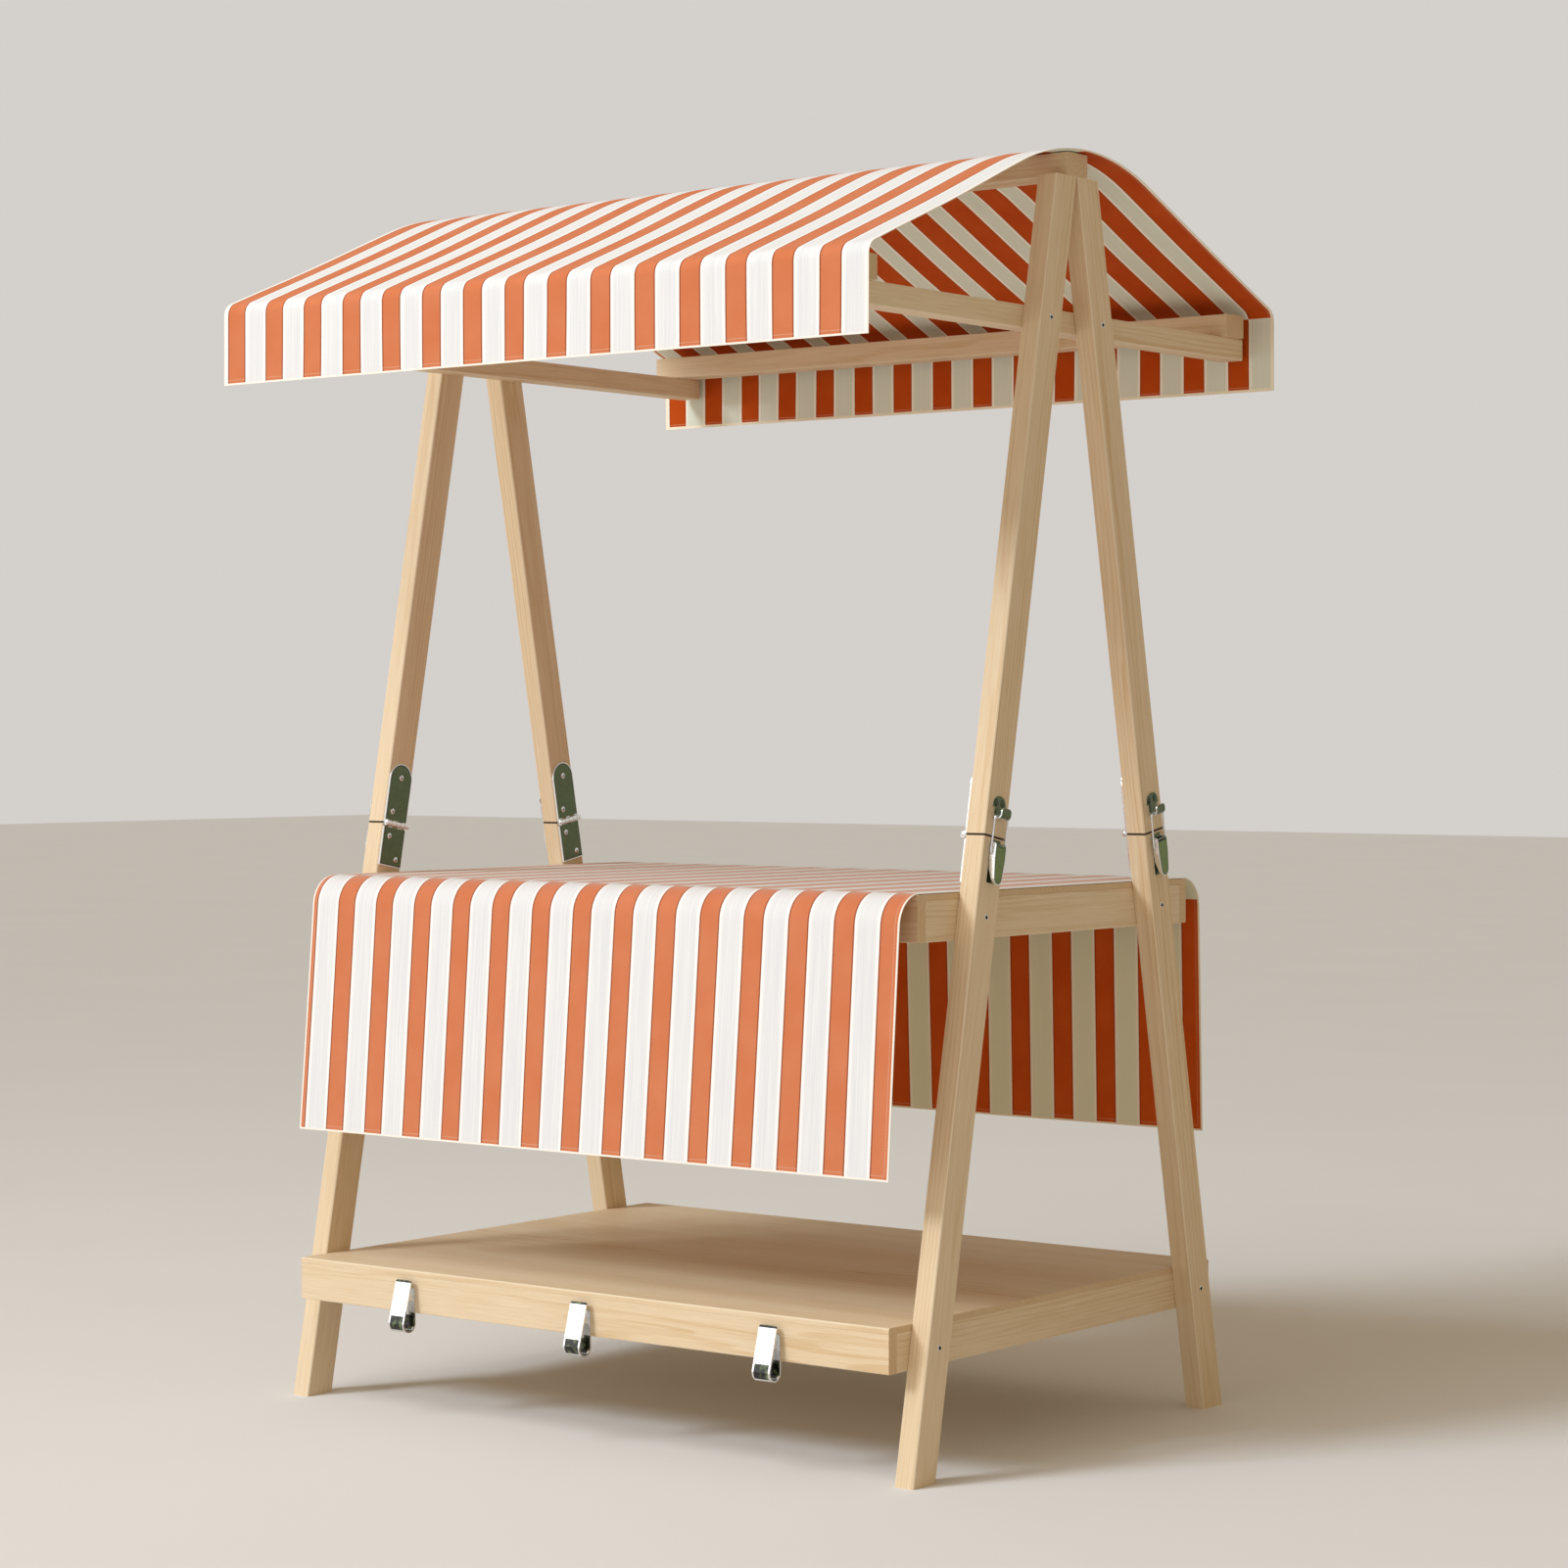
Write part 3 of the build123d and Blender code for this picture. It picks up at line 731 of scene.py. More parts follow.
# the underside's colours are painted shade: a deeper orange and a greenish white, for the shade and
# orange bounce light under the cloth
LINING_PAINTED_SHADE = CanvasColours(
    orange="C04A10",
    orange_worn="C85418",
    white="FFFBEA",
    white_shade="E4E9D8",
    outline="B04510",
    border="FFF6DC",
    margin=(4.2, 5.2),
    sheen=0.02,
    shine=0.08,
    evenness=0.8,
)
# the counter's underside, painted lighter for the light that reaches inside its hangs
COUNTER_LINING_PAINTED_SHADE = replace(LINING_PAINTED_SHADE, orange="CE5416", orange_worn="D45E20", white_shade="EFF4DA")


def dress(nodes: Mapping[str, Object], names: Sequence[str], finish: Finish) -> list[Object]:
    """Gives the named ones of the frame's nodes a finish, and hands them back."""
    for name in names:
        for slot in nodes[name].material_slots:
            slot.material = finish.material()
    return [nodes[name] for name in names]


# Timber


class Grain(Enum):
    """Which way a timber's grain runs, as the Euler angles that set it upright."""

    ALONG_X = (0.0, -math.pi / 2, 0.0)
    ALONG_Y = (math.pi / 2, 0.0, 0.0)
    FRONT_LEG = (LEG_LEAN, 0.0, 0.0)
    REAR_LEG = (-LEG_LEAN, 0.0, 0.0)


@dataclass
class TimberWork:
    """The legs, rails, aprons and boards, whose shapes are the frame's own."""

    timbers: tuple[tuple[Grain, Names], ...] = (
        (Grain.ALONG_X, ("ridge_beam", "eave_rail_front", "eave_rail_rear")),
        (Grain.ALONG_X, ("counter_apron_front", "counter_apron_rear", "counter_top")),
        (Grain.ALONG_X, ("shelf_rail_front", "shelf_rail_rear", "shelf_board")),
        (Grain.ALONG_Y, ("cross_rail_left", "cross_rail_right")),
        (Grain.ALONG_Y, ("counter_apron_left", "counter_apron_right")),
        (Grain.ALONG_Y, ("shelf_rail_left", "shelf_rail_right")),
        *(
            (grain, (f"{length}_leg_{end}_left", f"{length}_leg_{end}_right"))
            for length in ("lower", "upper")
            for grain, end in ((Grain.FRONT_LEG, "front"), (Grain.REAR_LEG, "rear"))
        ),
    )
    heart_distance: float = 85.0
    golden_angle: float = math.radians(137.5)

    def build(self, nodes: Mapping[str, Object]) -> list[Object]:
        """Dresses each timber, with its own part of the log on show.

        Args:
            nodes: The frame's nodes by name.

        Returns:
            The timbers.
        """
        pieces = [(name, grain) for grain, names in self.timbers for name in names]
        for number, (name, grain) in enumerate(pieces):
            dress(nodes, [name], self.finish(name, grain, number))
        return [nodes[name] for name, _ in pieces]

    def finish(self, name: str, grain: Grain, number: int) -> PlanedPine:
        """Gives one timber its finish.

        Args:
            name: The timber's node.
            grain: Which way its grain runs.
            number: Its place in the list, which turns the log's heart to another side.

        Returns:
            The finish, with the grain set out from the timber's own middle.
        """
        low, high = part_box(name)
        middle = Euler(grain.value).to_matrix() @ ((low + high) / 2)
        angle = number * self.golden_angle
        heart = (self.heart_distance * math.cos(angle), self.heart_distance * math.sin(angle))
        seamed = grain in (Grain.FRONT_LEG, Grain.REAR_LEG)
        return PlanedPine(f"planed_pine_{name}", grain.value, tuple(middle), heart, seamed)


# Cloth

Sides = tuple[tuple[str, CanvasColours, float], ...]  # name, colours and border of a cloth's sides


@dataclass(frozen=True)
class Corner:
    """A corner of a cloth's line seen from the side: how far back and up it is, and its rounding."""

    y: float
    z: float
    radius: float = 0.0


@dataclass(frozen=True)
class Span:
    """One straight run or bend of a cloth's line."""

    start: float
    length: float
    origin: Vector
    heading: float
    curvature: float

    def at(self, along: float) -> tuple[Vector, float]:
        """Finds a point of the span.

        Args:
            along: Its distance along the whole line.

        Returns:
            The point (y, z) and the line's heading there.
        """
        run = along - self.start
        start = Vector((math.cos(self.heading), math.sin(self.heading)))
        if self.curvature == 0:
            return self.origin + start * run, self.heading
        heading = self.heading + self.curvature * run
        step = Vector((math.sin(heading) - start.y, start.x - math.cos(heading)))
        return self.origin + step / self.curvature, heading


@dataclass(frozen=True)
class ClothLine:
    """A cloth's middle line seen from the side, from its front hem over the top to its rear hem."""

    corners: tuple[Corner, ...]

    def spans(self) -> list[Span]:
        """Sets out the runs and bends in order.

        Returns:
            The spans, each starting where the one before ends.
        """
        points = [Vector((corner.y, corner.z)) for corner in self.corners]
        headings = [math.atan2(b.y - a.y, b.x - a.x) for a, b in zip(points, points[1:])]
        spans: list[Span] = []
        place, start = points[0], 0.0
        for index, heading in enumerate(headings):
            last = index == len(headings) - 1
            turn = 0.0 if last else headings[index + 1] - heading
            radius = 0.0 if last else self.corners[index + 1].radius
            run = (points[index + 1] - place).length - radius * math.tan(abs(turn) / 2)
            pieces = [(run, 0.0)]
            if radius > 0:
                pieces.append((radius * abs(turn), math.copysign(1 / radius, turn)))
            for length, curvature in pieces:
                spans.append(Span(start, length, place, heading, curvature))
                start += length
                place, _ = spans[-1].at(start)
        return spans


@dataclass
class FoldedCloth:
    """A rectangle of canvas that is cut flat and folded along a line seen from the side."""

    name: str
    node: str
    slot: str
    rests_on: Names
    held: str
    half_width: float
    line: ClothLine
    columns: int
    row_on_run: float
    row_on_bend: float
    first_orange: float
    period: float
    orange_width: float
    panel: Pair  # where on the middle span a sewn-in panel starts and on the rear bend it ends, as shares
    sides: Sides  # the top, the lining and the cut rim
    hem_wave: float
    wave_pitch: Pair  # how far across a radian of the wave and of its ripple reach
    wave_shift: Pair  # radians, of the front and the rear hang's wave
    ripple: Pair  # how high it is beside the wave, and its shift in radians
    wave_power: float  # how fast the wave dies out above the hem
    thickness: float = 1.2
    cut_slack: float = 1e-6  # metres within which a cut goes through a corner of the mesh
    span_slack: float = 1e-4  # how far a row may fall short of its span

    def finishes(self) -> list[StripedCanvas]:
        """Sets out the stripes, whose colours change over on the sewn-in panel.

        Returns:
            The finishes of the cloth's sides.
        """
        spans = self.line.spans()
        ends = zip((spans[len(spans) // 2], spans[-2]), self.panel)
        panel = tuple(span.start + span.length * share for span, share in ends)
        sizes = (self.half_width, self.length(), self.first_orange, self.period, self.orange_width, panel)
        return [
            StripedCanvas(f"striped_canvas_{name}", colours, *sizes, border_width=border)
            for name, colours, border in self.sides
        ]

    def length(self) -> float:
        """Gives the cloth's length from hem to hem."""
        last = self.line.spans()[-1]
        return last.start + last.length

    def rows(self) -> Iterable[float]:
        """Gives where rows of the mesh cross the cloth.

        Returns:
            Distances along the cloth, closer together on its bends.
        """
        for span in self.line.spans():
            spacing = self.row_on_bend if span.curvature else self.row_on_run
            count = max(1, round(span.length / spacing))
            for step in range(count):
                yield span.start + span.length * step / count

    def stand_off(self, across: float, along: float) -> float:
        """Says how far the cloth stands off its line: its two hangs wave, more towards their hems.

        Args:
            across: Distance from the middle.
            along: Distance from the front hem.

        Returns:
            The distance, outwards, in millimetres.
        """
        hang = self.line.spans()[0].length
        to_hem = min(along, self.length() - along)
        if to_hem >= hang:
            return 0.0
        shift = self.wave_shift[0] if along < hang else self.wave_shift[1]
        wave_turn, ripple_turn = (across / pitch for pitch in self.wave_pitch)
        height, ripple_shift = self.ripple
        wave = math.sin(wave_turn + shift) + height * math.sin(ripple_turn + ripple_shift)
        return self.hem_wave * (1 - to_hem / hang) ** self.wave_power * wave / (1 + height)

    def cut(self) -> BMesh:
        """Cuts the flat rectangle with its columns and rows, and keeps the cut's places as its UV map.

        Returns:
            The flat cloth, x across and y along, in metres.
        """
        half_length = self.length() / 2 * MM
        mesh = bmesh.new()
        bmesh.ops.create_grid(mesh, x_segments=self.columns, y_segments=1, size=1.0)
        bmesh.ops.scale(mesh, vec=(self.half_width * MM, half_length, 1.0), verts=mesh.verts)
        bmesh.ops.translate(mesh, vec=(0.0, half_length, 0.0), verts=mesh.verts)
        for row in self.rows():
            bmesh.ops.bisect_plane(
                mesh,
                geom=mesh.verts[:] + mesh.edges[:] + mesh.faces[:],
                dist=self.cut_slack,
                plane_co=(0.0, row * MM, 0.0),
                plane_no=(0.0, 1.0, 0.0),
            )
        places = mesh.loops.layers.uv.new(CUT_UV)
        for face in mesh.faces:
            for loop in face.loops:
                loop[places].uv = loop.vert.co.xy
        return mesh

    def fold(self, mesh: BMesh) -> None:
        """Folds the flat cloth over its line and lets it stand off a little.

        Args:
            mesh: The flat cloth, which is changed.
        """
        spans = self.line.spans()
        for vert in mesh.verts:
            across, along = vert.co.x / MM, vert.co.y / MM
            span = [s for s in spans if s.start <= along + self.span_slack][-1]
            point, heading = span.at(along)
            off = self.stand_off(across, along) + self.thickness / 2
            y = point.x - math.sin(heading) * off
            z = point.y + math.cos(heading) * off
            vert.co = Vector((across, y, z)) * MM
        mesh.normal_update()

    def thicken(self, mesh: BMesh) -> None:
        """Gives the folded cloth its thickness, inwards, with its lining and cut rim in their finishes.

        Args:
            mesh: The folded cloth, which is changed.
        """
        faces = mesh.faces[:]
        outside = set(faces)
        bmesh.ops.solidify(mesh, geom=faces, thickness=self.thickness * MM)
        mesh.normal_update()
        for face in mesh.faces:
            face.smooth = True
            if face not in outside:
                is_rim = any(f in outside for edge in face.edges for f in edge.link_faces)
                face.material_index = 2 if is_rim else 1
        for edge in mesh.edges:
            edge.smooth = len({face.material_index for face in edge.link_faces}) == 1

    def build(self) -> Object:
        """Cuts, folds and thickens the cloth, hides the frame's own node for it and attaches it to the
        frame.

        Returns:
            The cloth.
        """
        mesh = self.cut()
        self.fold(mesh)
        self.thicken(mesh)
        piece = make_piece(self.name, mesh, self.finishes())
        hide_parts(self.node)
        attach(piece, FRAME_BODY)
        flat = (2 * self.half_width * MM, self.length() * MM)
        return piece


@dataclass
class Canopy(FoldedCloth):
    """The gabled canopy: one canvas over the ridge beam and both eave rails, with two valances."""

    name: str = "canopy_cloth"
    node: str = "canopy"
    slot: str = "canopy_canvas"
    rests_on: Names = ("ridge_beam", "eave_rail_front", "eave_rail_rear")
    held: str = "stretched"
    half_width: float = 652.0
    line: ClothLine = ClothLine(
        (
            Corner(-563.5, 1663.79),
            Corner(-563.5, 1791.79, 22.5),
            Corner(0.0, 2028.663, 448.5),
            Corner(563.5, 1791.79, 22.5),
            Corner(563.5, 1663.79),
        )
    )
    columns: int = 52
    row_on_run: float = 16.0
    row_on_bend: float = 4.0
    first_orange: float = -643.0
    period: float = 86.25
    orange_width: float = 40.0
    panel: Pair = (0.5, 0.7)
    sides: Sides = (
        ("canopy_top", SUNNY_SIDE, 3.0),
        ("canopy_under", LINING_PAINTED_SHADE, 4.5),
        ("canopy_rim", SUNNY_SIDE, 9.0),
    )
    hem_wave: float = 1.8
    wave_pitch: Pair = (97.0, 41.0)
    wave_shift: Pair = (0.8, 2.1)
    ripple: Pair = (0.6, 0.0)
    wave_power: float = 2.0
    sag: float = 1.76
    pucker: float = 0.55
    pucker_pitch: Pair = (58.0, 190.0)  # how far across and along a radian of it reaches

    def stand_off(self, across: float, along: float) -> float:
        """Lets the slopes sag between the ridge and the rails, as well as the valances wave.

        Args:
            across: Distance from the middle.
            along: Distance from the front hem.

        Returns:
            How far the cloth stands off its line, outwards, in millimetres.
        """
        _, _, slope, *_ = self.line.spans()
        share = (min(along, self.length() - along) - slope.start) / slope.length
        if not 0 < share < 1:
            return super().stand_off(across, along)
        turn = across / self.pucker_pitch[0] + along / self.pucker_pitch[1]
        return -(self.sag + self.pucker * math.sin(turn)) * math.sin(math.pi * share) ** 2


@dataclass
class CounterCloth(FoldedCloth):
    """The counter's cloth: it lies on the board, bends round its long edges and hangs front and rear."""

    name: str = "counter_cloth"
    node: str = "table_cloth"
    slot: str = "counter_canvas"
    rests_on: Names = ("counter_top",)
    held: str = "draped"
    half_width: float = 599.0
    line: ClothLine = ClothLine(
        (
            Corner(-446.72, 446.0),
            Corner(-413.217, 862.3, 49.0),
            Corner(415.57, 862.3, 49.0),
            Corner(427.93, 446.0),
        )
    )
    columns: int = 48
    row_on_run: float = 18.0
    row_on_bend: float = 5.0
    first_orange: float = -540.5
    period: float = 85.0
    orange_width: float = 38.5
    panel: Pair = (0.0, 0.85)
    sides: Sides = (
        ("counter_top", COUNTER_SUNNY_SIDE, 3.0),
        ("counter_under", COUNTER_LINING_PAINTED_SHADE, 3.0),
        ("counter_rim", SUNNY_SIDE, 9.0),
    )
    hem_wave: float = 3.0
    wave_pitch: Pair = (132.0, 53.0)
    wave_shift: Pair = (0.3, 1.7)
    ripple: Pair = (0.5, 1.0)
    wave_power: float = 1.5


# Screws, rivets and fittings


@dataclass(frozen=True)
class LegFace:
    """The inner or outer face of a leg, with the directions that its fittings are set out in."""

    side: int  # -1 left, +1 right
    end: int  # -1 front, +1 rear
    facing: int  # -1 the inner face, +1 the outer one
    inner: float = 600.0  # how far the faces are from the stall's middle
    outer: float = 634.0

    def at(self, across: float, up: float, off: float) -> Matrix:
        """Gives the place of a fitting on this face.

        Args:
            across: Distance across the leg from its middle.
            up: Distance up the leg from the seam.
            off: Distance off the face.

        Returns:
            The place as a matrix, in metres, with x across the leg, y up it and z off the face.
        """
        sine, cosine = math.sin(LEG_LEAN), math.cos(LEG_LEAN)
        way = self.side * self.facing
        face = self.inner if self.facing < 0 else self.outer
        turn = Matrix(
            (
                (0.0, 0.0, way),
                (way * cosine, -self.end * sine, 0.0),
                (self.end * way * sine, cosine, 0.0),
            )
        )
        seam_out, seam_up = LEG_SEAM
        seam = Matrix.Translation(Vector((self.side * face, self.end * seam_out, seam_up)) * MM)
        return seam @ turn.to_4x4() @ Matrix.Translation(Vector((across, up, off)) * MM)

    def pin_ends(self, half: float, up: float, off: float) -> list[Matrix]:
        """Gives the places of both ends of a pin across this face, each with z out of its end."""
        turns = {way: Matrix.Rotation(way * math.pi / 2, 4, "Y") for way in (-1, 1)}
        return [self.at(way * half, up, off) @ turn for way, turn in turns.items()]


def leg_faces(facing: int) -> list[LegFace]:
    """Lists the four legs' inner (-1) or outer (+1) faces."""
    return [LegFace(side, end, facing) for side in (-1, 1) for end in (-1, 1)]


@dataclass(frozen=True)
class DomedHead:
    """A low domed head, such as a screw's or a rivet's, with a cross recess in painted shade if it has
    one.
    """

    radius: float
    rise: float
    skirt: float
    recess: float = 0.0
    arm: float = 0.5  # half the width of the recess's arms, in cells
    reach: float = 2.5  # how far the arms reach from the middle, in cells
    cells: int = 9
    chamfer: float = 0.03  # how far the recess narrows, for each unit of radius

    def add_to(self, mesh: BMesh, place: Matrix) -> None:
        """Adds one head to a bmesh.

        Args:
            mesh: The bmesh that gets the head.
            place: The head's seat, with z out of it, in metres.
        """
        cells = {"x_segments": self.cells, "y_segments": self.cells}
        disc = bmesh.ops.create_grid(mesh, **cells, size=1.0)["verts"]
        faces = list({face for vert in disc for face in vert.link_faces})
        cross = []
        for face in faces:
            spread = [abs(part) * self.cells / 2 for part in face.calc_center_median().xy]
            if min(spread) < self.arm and max(spread) < self.reach:
                cross.append(face)
        for vert in disc:
            x, y = vert.co.x, vert.co.y
            flat = Vector((x * math.sqrt(1 - y * y / 2), y * math.sqrt(1 - x * x / 2)))
            height = self.rise * (1 - flat.length_squared)
            vert.co = (*(flat * self.radius), self.skirt + height)
        rim = [e for e in {e for face in faces for e in face.edges} if len(e.link_faces) == 1]
        wall = bmesh.ops.extrude_edge_only(mesh, edges=rim)["geom"]
        foot = [item for item in wall if isinstance(item, BMVert)]
        for vert in foot:
            vert.co.z = 0.0
        verts = set(disc) | set(foot)
        if self.recess > 0:
            sizes = {"thickness": self.chamfer * self.radius, "depth": -self.recess}
            inset = bmesh.ops.inset_region(mesh, faces=cross, use_even_offset=True, **sizes)
            # the recess's faces are painted dark as its shade
            for face in (*inset["faces"], *cross):
                face.material_index = 1
                verts |= set(face.verts)
        bmesh.ops.scale(mesh, vec=(MM, MM, MM), verts=list(verts))
        bmesh.ops.transform(mesh, matrix=place, verts=list(verts))


def make_heads(name: str, head: DomedHead, places: Iterable[Matrix], finish: Finish) -> Object:
    """Makes one piece of several heads that ride on the frame.

    Args:
        name: The piece's name.
        head: The head.
        places: Where the heads sit.
        finish: Their finish.

    Returns:
        The piece.
    """
    mesh = bmesh.new()
    for place in places:
        head.add_to(mesh, place)
    bmesh.ops.recalc_face_normals(mesh, faces=mesh.faces)
    for face in mesh.faces:
        face.smooth = True
    for edge in mesh.edges:
        edge.smooth = edge.calc_face_angle(0.0) < CREASE
    # the recess gets the painted shade
    piece = make_piece(name, mesh, (finish, RECESS_PAINTED_SHADE) if head.recess else (finish,))
    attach(piece, FRAME_BODY)
    return piece


@dataclass
class LegScrews:
    """The countersunk screws through the legs into the cross rails, the aprons and the shelf rails."""

    heights: tuple[float, ...] = (1731.0, 824.0, 198.0)
    head: DomedHead = DomedHead(radius=4.6, rise=0.5, skirt=0.3, recess=0.5, arm=1.5, reach=3.5)

    def build(self) -> list[Object]:
        """Makes the screws, on the middle of the legs' outer faces."""
        ups = [(height - LEG_SEAM[1]) / math.cos(LEG_LEAN) for height in self.heights]
        places = [face.at(0.0, up, 0.0) for face in leg_faces(1) for up in ups]
        return [make_heads("leg_screws", self.head, places, NICKEL)]


@dataclass
class Hinges:
    """The strap hinges on the legs' inner faces: olive leaves with bright screws and pin ends."""

    leaf_nodes: Names = ("hinge_upper_leaves", "hinge_lower_leaves")
    leaf: float = 2.5
    screws: tuple[Pair, ...] = ((0.0, 80.0), (11.0, 21.0), (11.0, -21.0), (-11.0, -59.0))  # out and up
    barrel_out: float = 5.3
    barrel_half: float = 26.5
    screw: DomedHead = DomedHead(radius=5.0, rise=1.5, skirt=0.5, recess=0.9)
    pin: DomedHead = DomedHead(radius=3.6, rise=1.4, skirt=0.8, cells=6)

    def build(self, nodes: Mapping[str, Object]) -> list[Object]:
        """Dresses the leaves and makes the screws and pin ends.

        Args:
            nodes: The frame's nodes by name.

        Returns:
            The hinges' pieces.
        """
        faces = leg_faces(-1)
        seats = [face.at(face.side * out, up, self.leaf) for face in faces for out, up in self.screws]
        ends = [end for face in faces for end in face.pin_ends(self.barrel_half, 0.0, self.barrel_out)]
        return [
            *dress(nodes, self.leaf_nodes, OLIVE_HINGE),
            make_heads("hinge_screws", self.screw, seats, NICKEL),
            make_heads("hinge_pin_ends", self.pin, ends, CHROME),
        ]


@dataclass
class Latches:
    """The toggle latches on the legs' outer faces: olive bases, catches and levers, bright loops."""

    olive_nodes: Names = ("latch_bases", "latch_catches")
    lever_nodes: Names = tuple(f"latch_lever_{corner}" for corner in CORNERS)
    bright_nodes: Names = tuple(f"latch_loop_{corner}" for corner in CORNERS)
    plate: float = 2.0
    catch_rivets: tuple[Pair, ...] = ((-8.5, 52.0), (8.5, 52.0))
    pivot: Pair = (-14.0, 8.4)  # up and out
    pivot_half: float = 14.2
    dome: DomedHead = DomedHead(radius=6.2, rise=1.4, skirt=0.3, cells=10)
    rivet: DomedHead = DomedHead(radius=2.3, rise=0.5, skirt=0.2, cells=6)

    def build(self, nodes: Mapping[str, Object]) -> list[Object]:
        """Dresses the latches' nodes and makes the catches' rivets and the pivots' riveted ends.

        Args:
            nodes: The frame's nodes by name.

        Returns:
            The latches' pieces.
        """
        faces = leg_faces(1)
        domes = [face.at(across, up, self.plate) for face in faces for across, up in self.catch_rivets]
        ends = [end for face in faces for end in face.pin_ends(self.pivot_half, *self.pivot)]
        return [
            *dress(nodes, self.olive_nodes, OLIVE_SHEET),
            *dress(nodes, self.lever_nodes, OLIVE_LEVER),
            *dress(nodes, self.bright_nodes, CHROME),
            make_heads("catch_rivets", self.dome, domes, OLIVE_DOME),
            make_heads("latch_rivet_ends", self.rivet, ends, NICKEL),
        ]


@dataclass
class ShelfHooks:
    """The three bent strap hooks on the shelf's front rail, in bright chrome with painted shadow and
    reflection.
    """

    hook_nodes: Names = ("shelf_hook_left", "shelf_hook_middle", "shelf_hook_right")

    def build(self, nodes: Mapping[str, Object]) -> list[Object]:
        """Dresses the hooks, which are among the frame's nodes."""
        return dress(nodes, self.hook_nodes, HOOK_CHROME)


# Studio


class LampKind(Enum):
    """How near a lamp is, as Blender's name for its light."""

    FAR = "SUN"
    NEAR = "AREA"


@dataclass(frozen=True)
class SoftLamp:
    """A large soft lamp that looks at the stall's middle: a far one for even light, or a near one."""

    name: str
    kind: LampKind
    place: Triple
    size: float  # metres across for a near lamp, degrees of sky for a far one
    power: float
    colour: str = "FFFFFF"


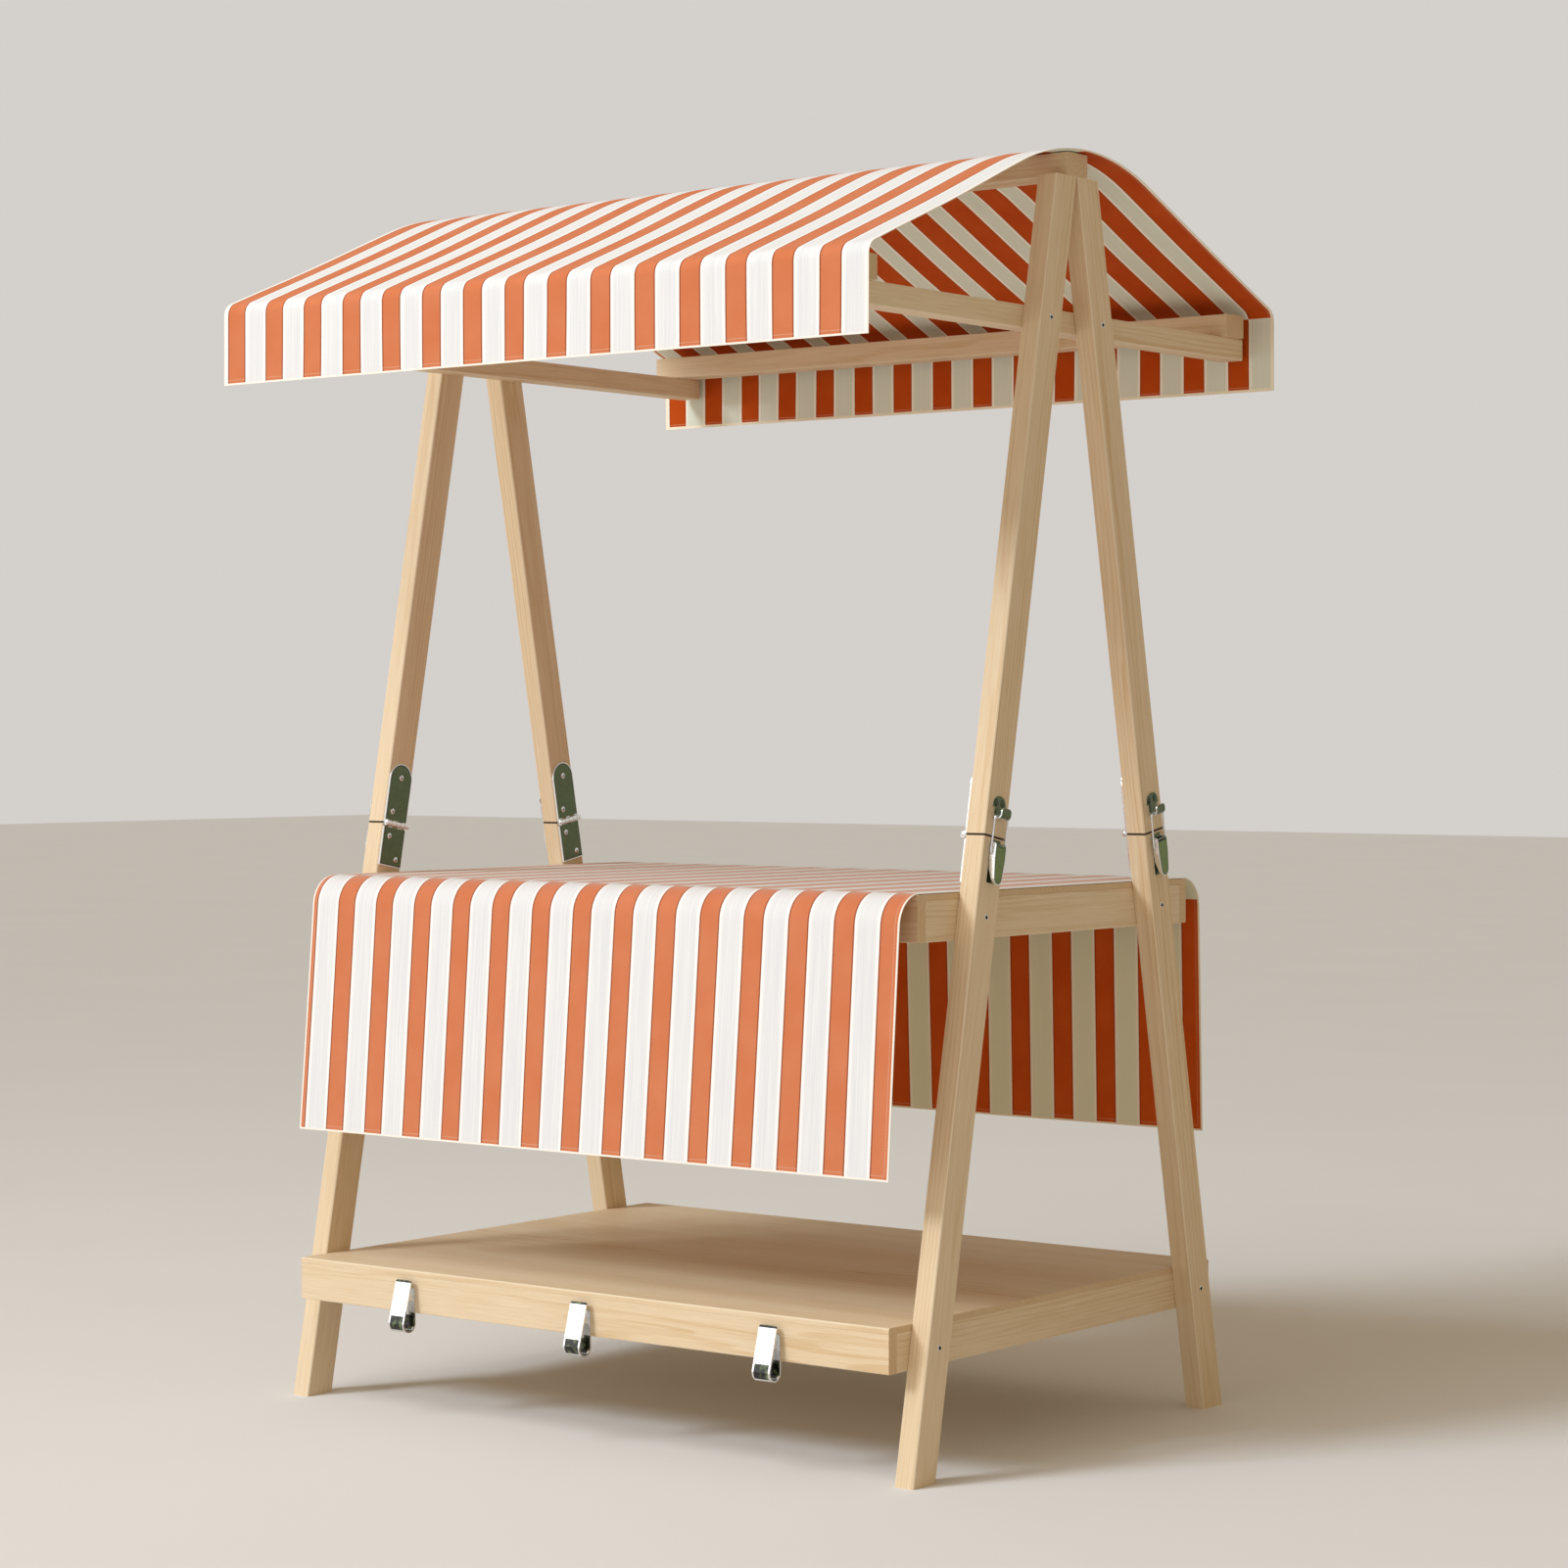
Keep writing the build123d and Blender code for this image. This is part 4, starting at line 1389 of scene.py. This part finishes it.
@dataclass
class Studio:
    """The photograph's camera, a pale floor, a pale surrounding and plain soft lamps."""

    camera_place: Triple = (3766.85, -4782.85, 1103.5)
    camera_yaw: float = -37.7511
    camera_pitch: float = -0.8405
    camera_roll: float = -0.03
    focal_share: float = 3781.33 / 1601  # focal length over the frame's width
    sensor: float = 36.0
    farthest: float = 100.0  # metres that the camera sees
    floor_half: float = 30000.0
    floor_paint: StudioPaint = StudioPaint("matt_floor_paint", "EAE9E8", "E6E5E4")
    surrounding: str = "D4D0CC"
    ambient: str = "FFE9C6"
    ambient_strength: float = 0.40
    aim: Triple = (0.0, 0.0, 1000.0)
    lamps: tuple[SoftLamp, ...] = (
        SoftLamp("key_lamp", LampKind.FAR, (-4500.0, -8500.0, 7400.0), 16.0, 1.72, "EAF4FF"),
        SoftLamp("overhead_lamp", LampKind.NEAR, (-600.0, -3000.0, 5200.0), 3.0, 83.0),
        SoftLamp("fill_lamp", LampKind.NEAR, (2300.0, -5600.0, 950.0), 3.0, 20.0),
        SoftLamp("glint_lamp", LampKind.NEAR, (-2900.0, -4350.0, 850.0), 2.6, 20.0),
    )

    def build(self) -> None:
        """Sets up the camera, the floor, the surrounding and the lamps."""
        self.add_camera()
        self.add_floor()
        self.add_surrounding()
        for lamp in self.lamps:
            self.add_lamp(lamp)
        bpy.context.scene.view_settings.view_transform = "Standard"

    def add_camera(self) -> None:
        """Adds the camera at the photograph's viewpoint."""
        data = bpy.data.cameras.new("photo_camera")
        data.sensor_width = self.sensor
        data.lens = self.focal_share * self.sensor
        data.clip_end = self.farthest
        camera = bpy.data.objects.new("photo_camera", data)
        pitch, yaw = math.radians(self.camera_pitch), math.radians(self.camera_yaw)
        roll = Matrix.Rotation(math.radians(self.camera_roll), 3, "Z")
        turn = Euler((math.pi / 2 + pitch, 0.0, -yaw)).to_matrix() @ roll
        camera.matrix_world = Matrix.Translation(Vector(self.camera_place) * MM) @ turn.to_4x4()
        bpy.context.scene.collection.objects.link(camera)
        bpy.context.scene.camera = camera

    def add_floor(self) -> None:
        """Adds the floor, which isn't part of the object."""
        mesh = bmesh.new()
        bmesh.ops.create_grid(mesh, x_segments=2, y_segments=2, size=self.floor_half * MM)
        make_piece("studio_floor", mesh, (self.floor_paint,))

    def add_surrounding(self) -> None:
        """Adds the world: even soft light on the object, and a pale tone to be seen and mirrored."""
        world = bpy.data.worlds.new("studio_surrounding")
        world.use_nodes = True
        tree = world.node_tree
        tree.nodes.clear()
        add = partial(add_node, tree)
        rays = add("LightPath").outputs
        shown = rays["Is Camera Ray"]
        for other in ("Is Glossy Ray", "Is Transmission Ray"):
            shown = add("Math", (shown, rays[other]), "MAXIMUM")
        light = add("Background", (self.ambient, self.ambient_strength))
        tone = add("Background", (self.surrounding, 1.0))
        add("OutputWorld", {"Surface": add("MixShader", (shown, light, tone))})
        bpy.context.scene.world = world

    def add_lamp(self, lamp: SoftLamp) -> None:
        """Adds one lamp.

        Args:
            lamp: Its place, size and light.
        """
        data = bpy.data.lights.new(lamp.name, lamp.kind.value)
        if lamp.kind is LampKind.FAR:
            data.angle = math.radians(lamp.size)
        else:
            data.shape = "DISK"
            data.size = lamp.size
        data.energy = lamp.power
        data.color = linear(lamp.colour)[:3]
        holder = bpy.data.objects.new(lamp.name, data)
        place = Vector(lamp.place) * MM
        turn = (Vector(self.aim) * MM - place).to_track_quat("-Z", "Y").to_matrix().to_4x4()
        holder.matrix_world = Matrix.Translation(place) @ turn
        bpy.context.scene.collection.objects.link(holder)


def report(pieces: Iterable[Object]) -> None:
    """Logs each piece with its number of faces."""
    for piece in pieces:
        log.info("%s: %d faces", piece.name, len(piece.data.polygons))


def main() -> None:
    """Loads the frame, and builds and dresses every piece."""
    logging.basicConfig(level=logging.INFO, format="%(message)s")
    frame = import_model()
    nodes = frame["nodes"]
    Studio().build()
    report(TimberWork().build(nodes))
    report([Canopy().build(), CounterCloth().build()])
    report(LegScrews().build())
    report(Hinges().build(nodes))
    report(Latches().build(nodes))
    report(ShelfHooks().build(nodes))


if __name__ == "__main__":
    main()
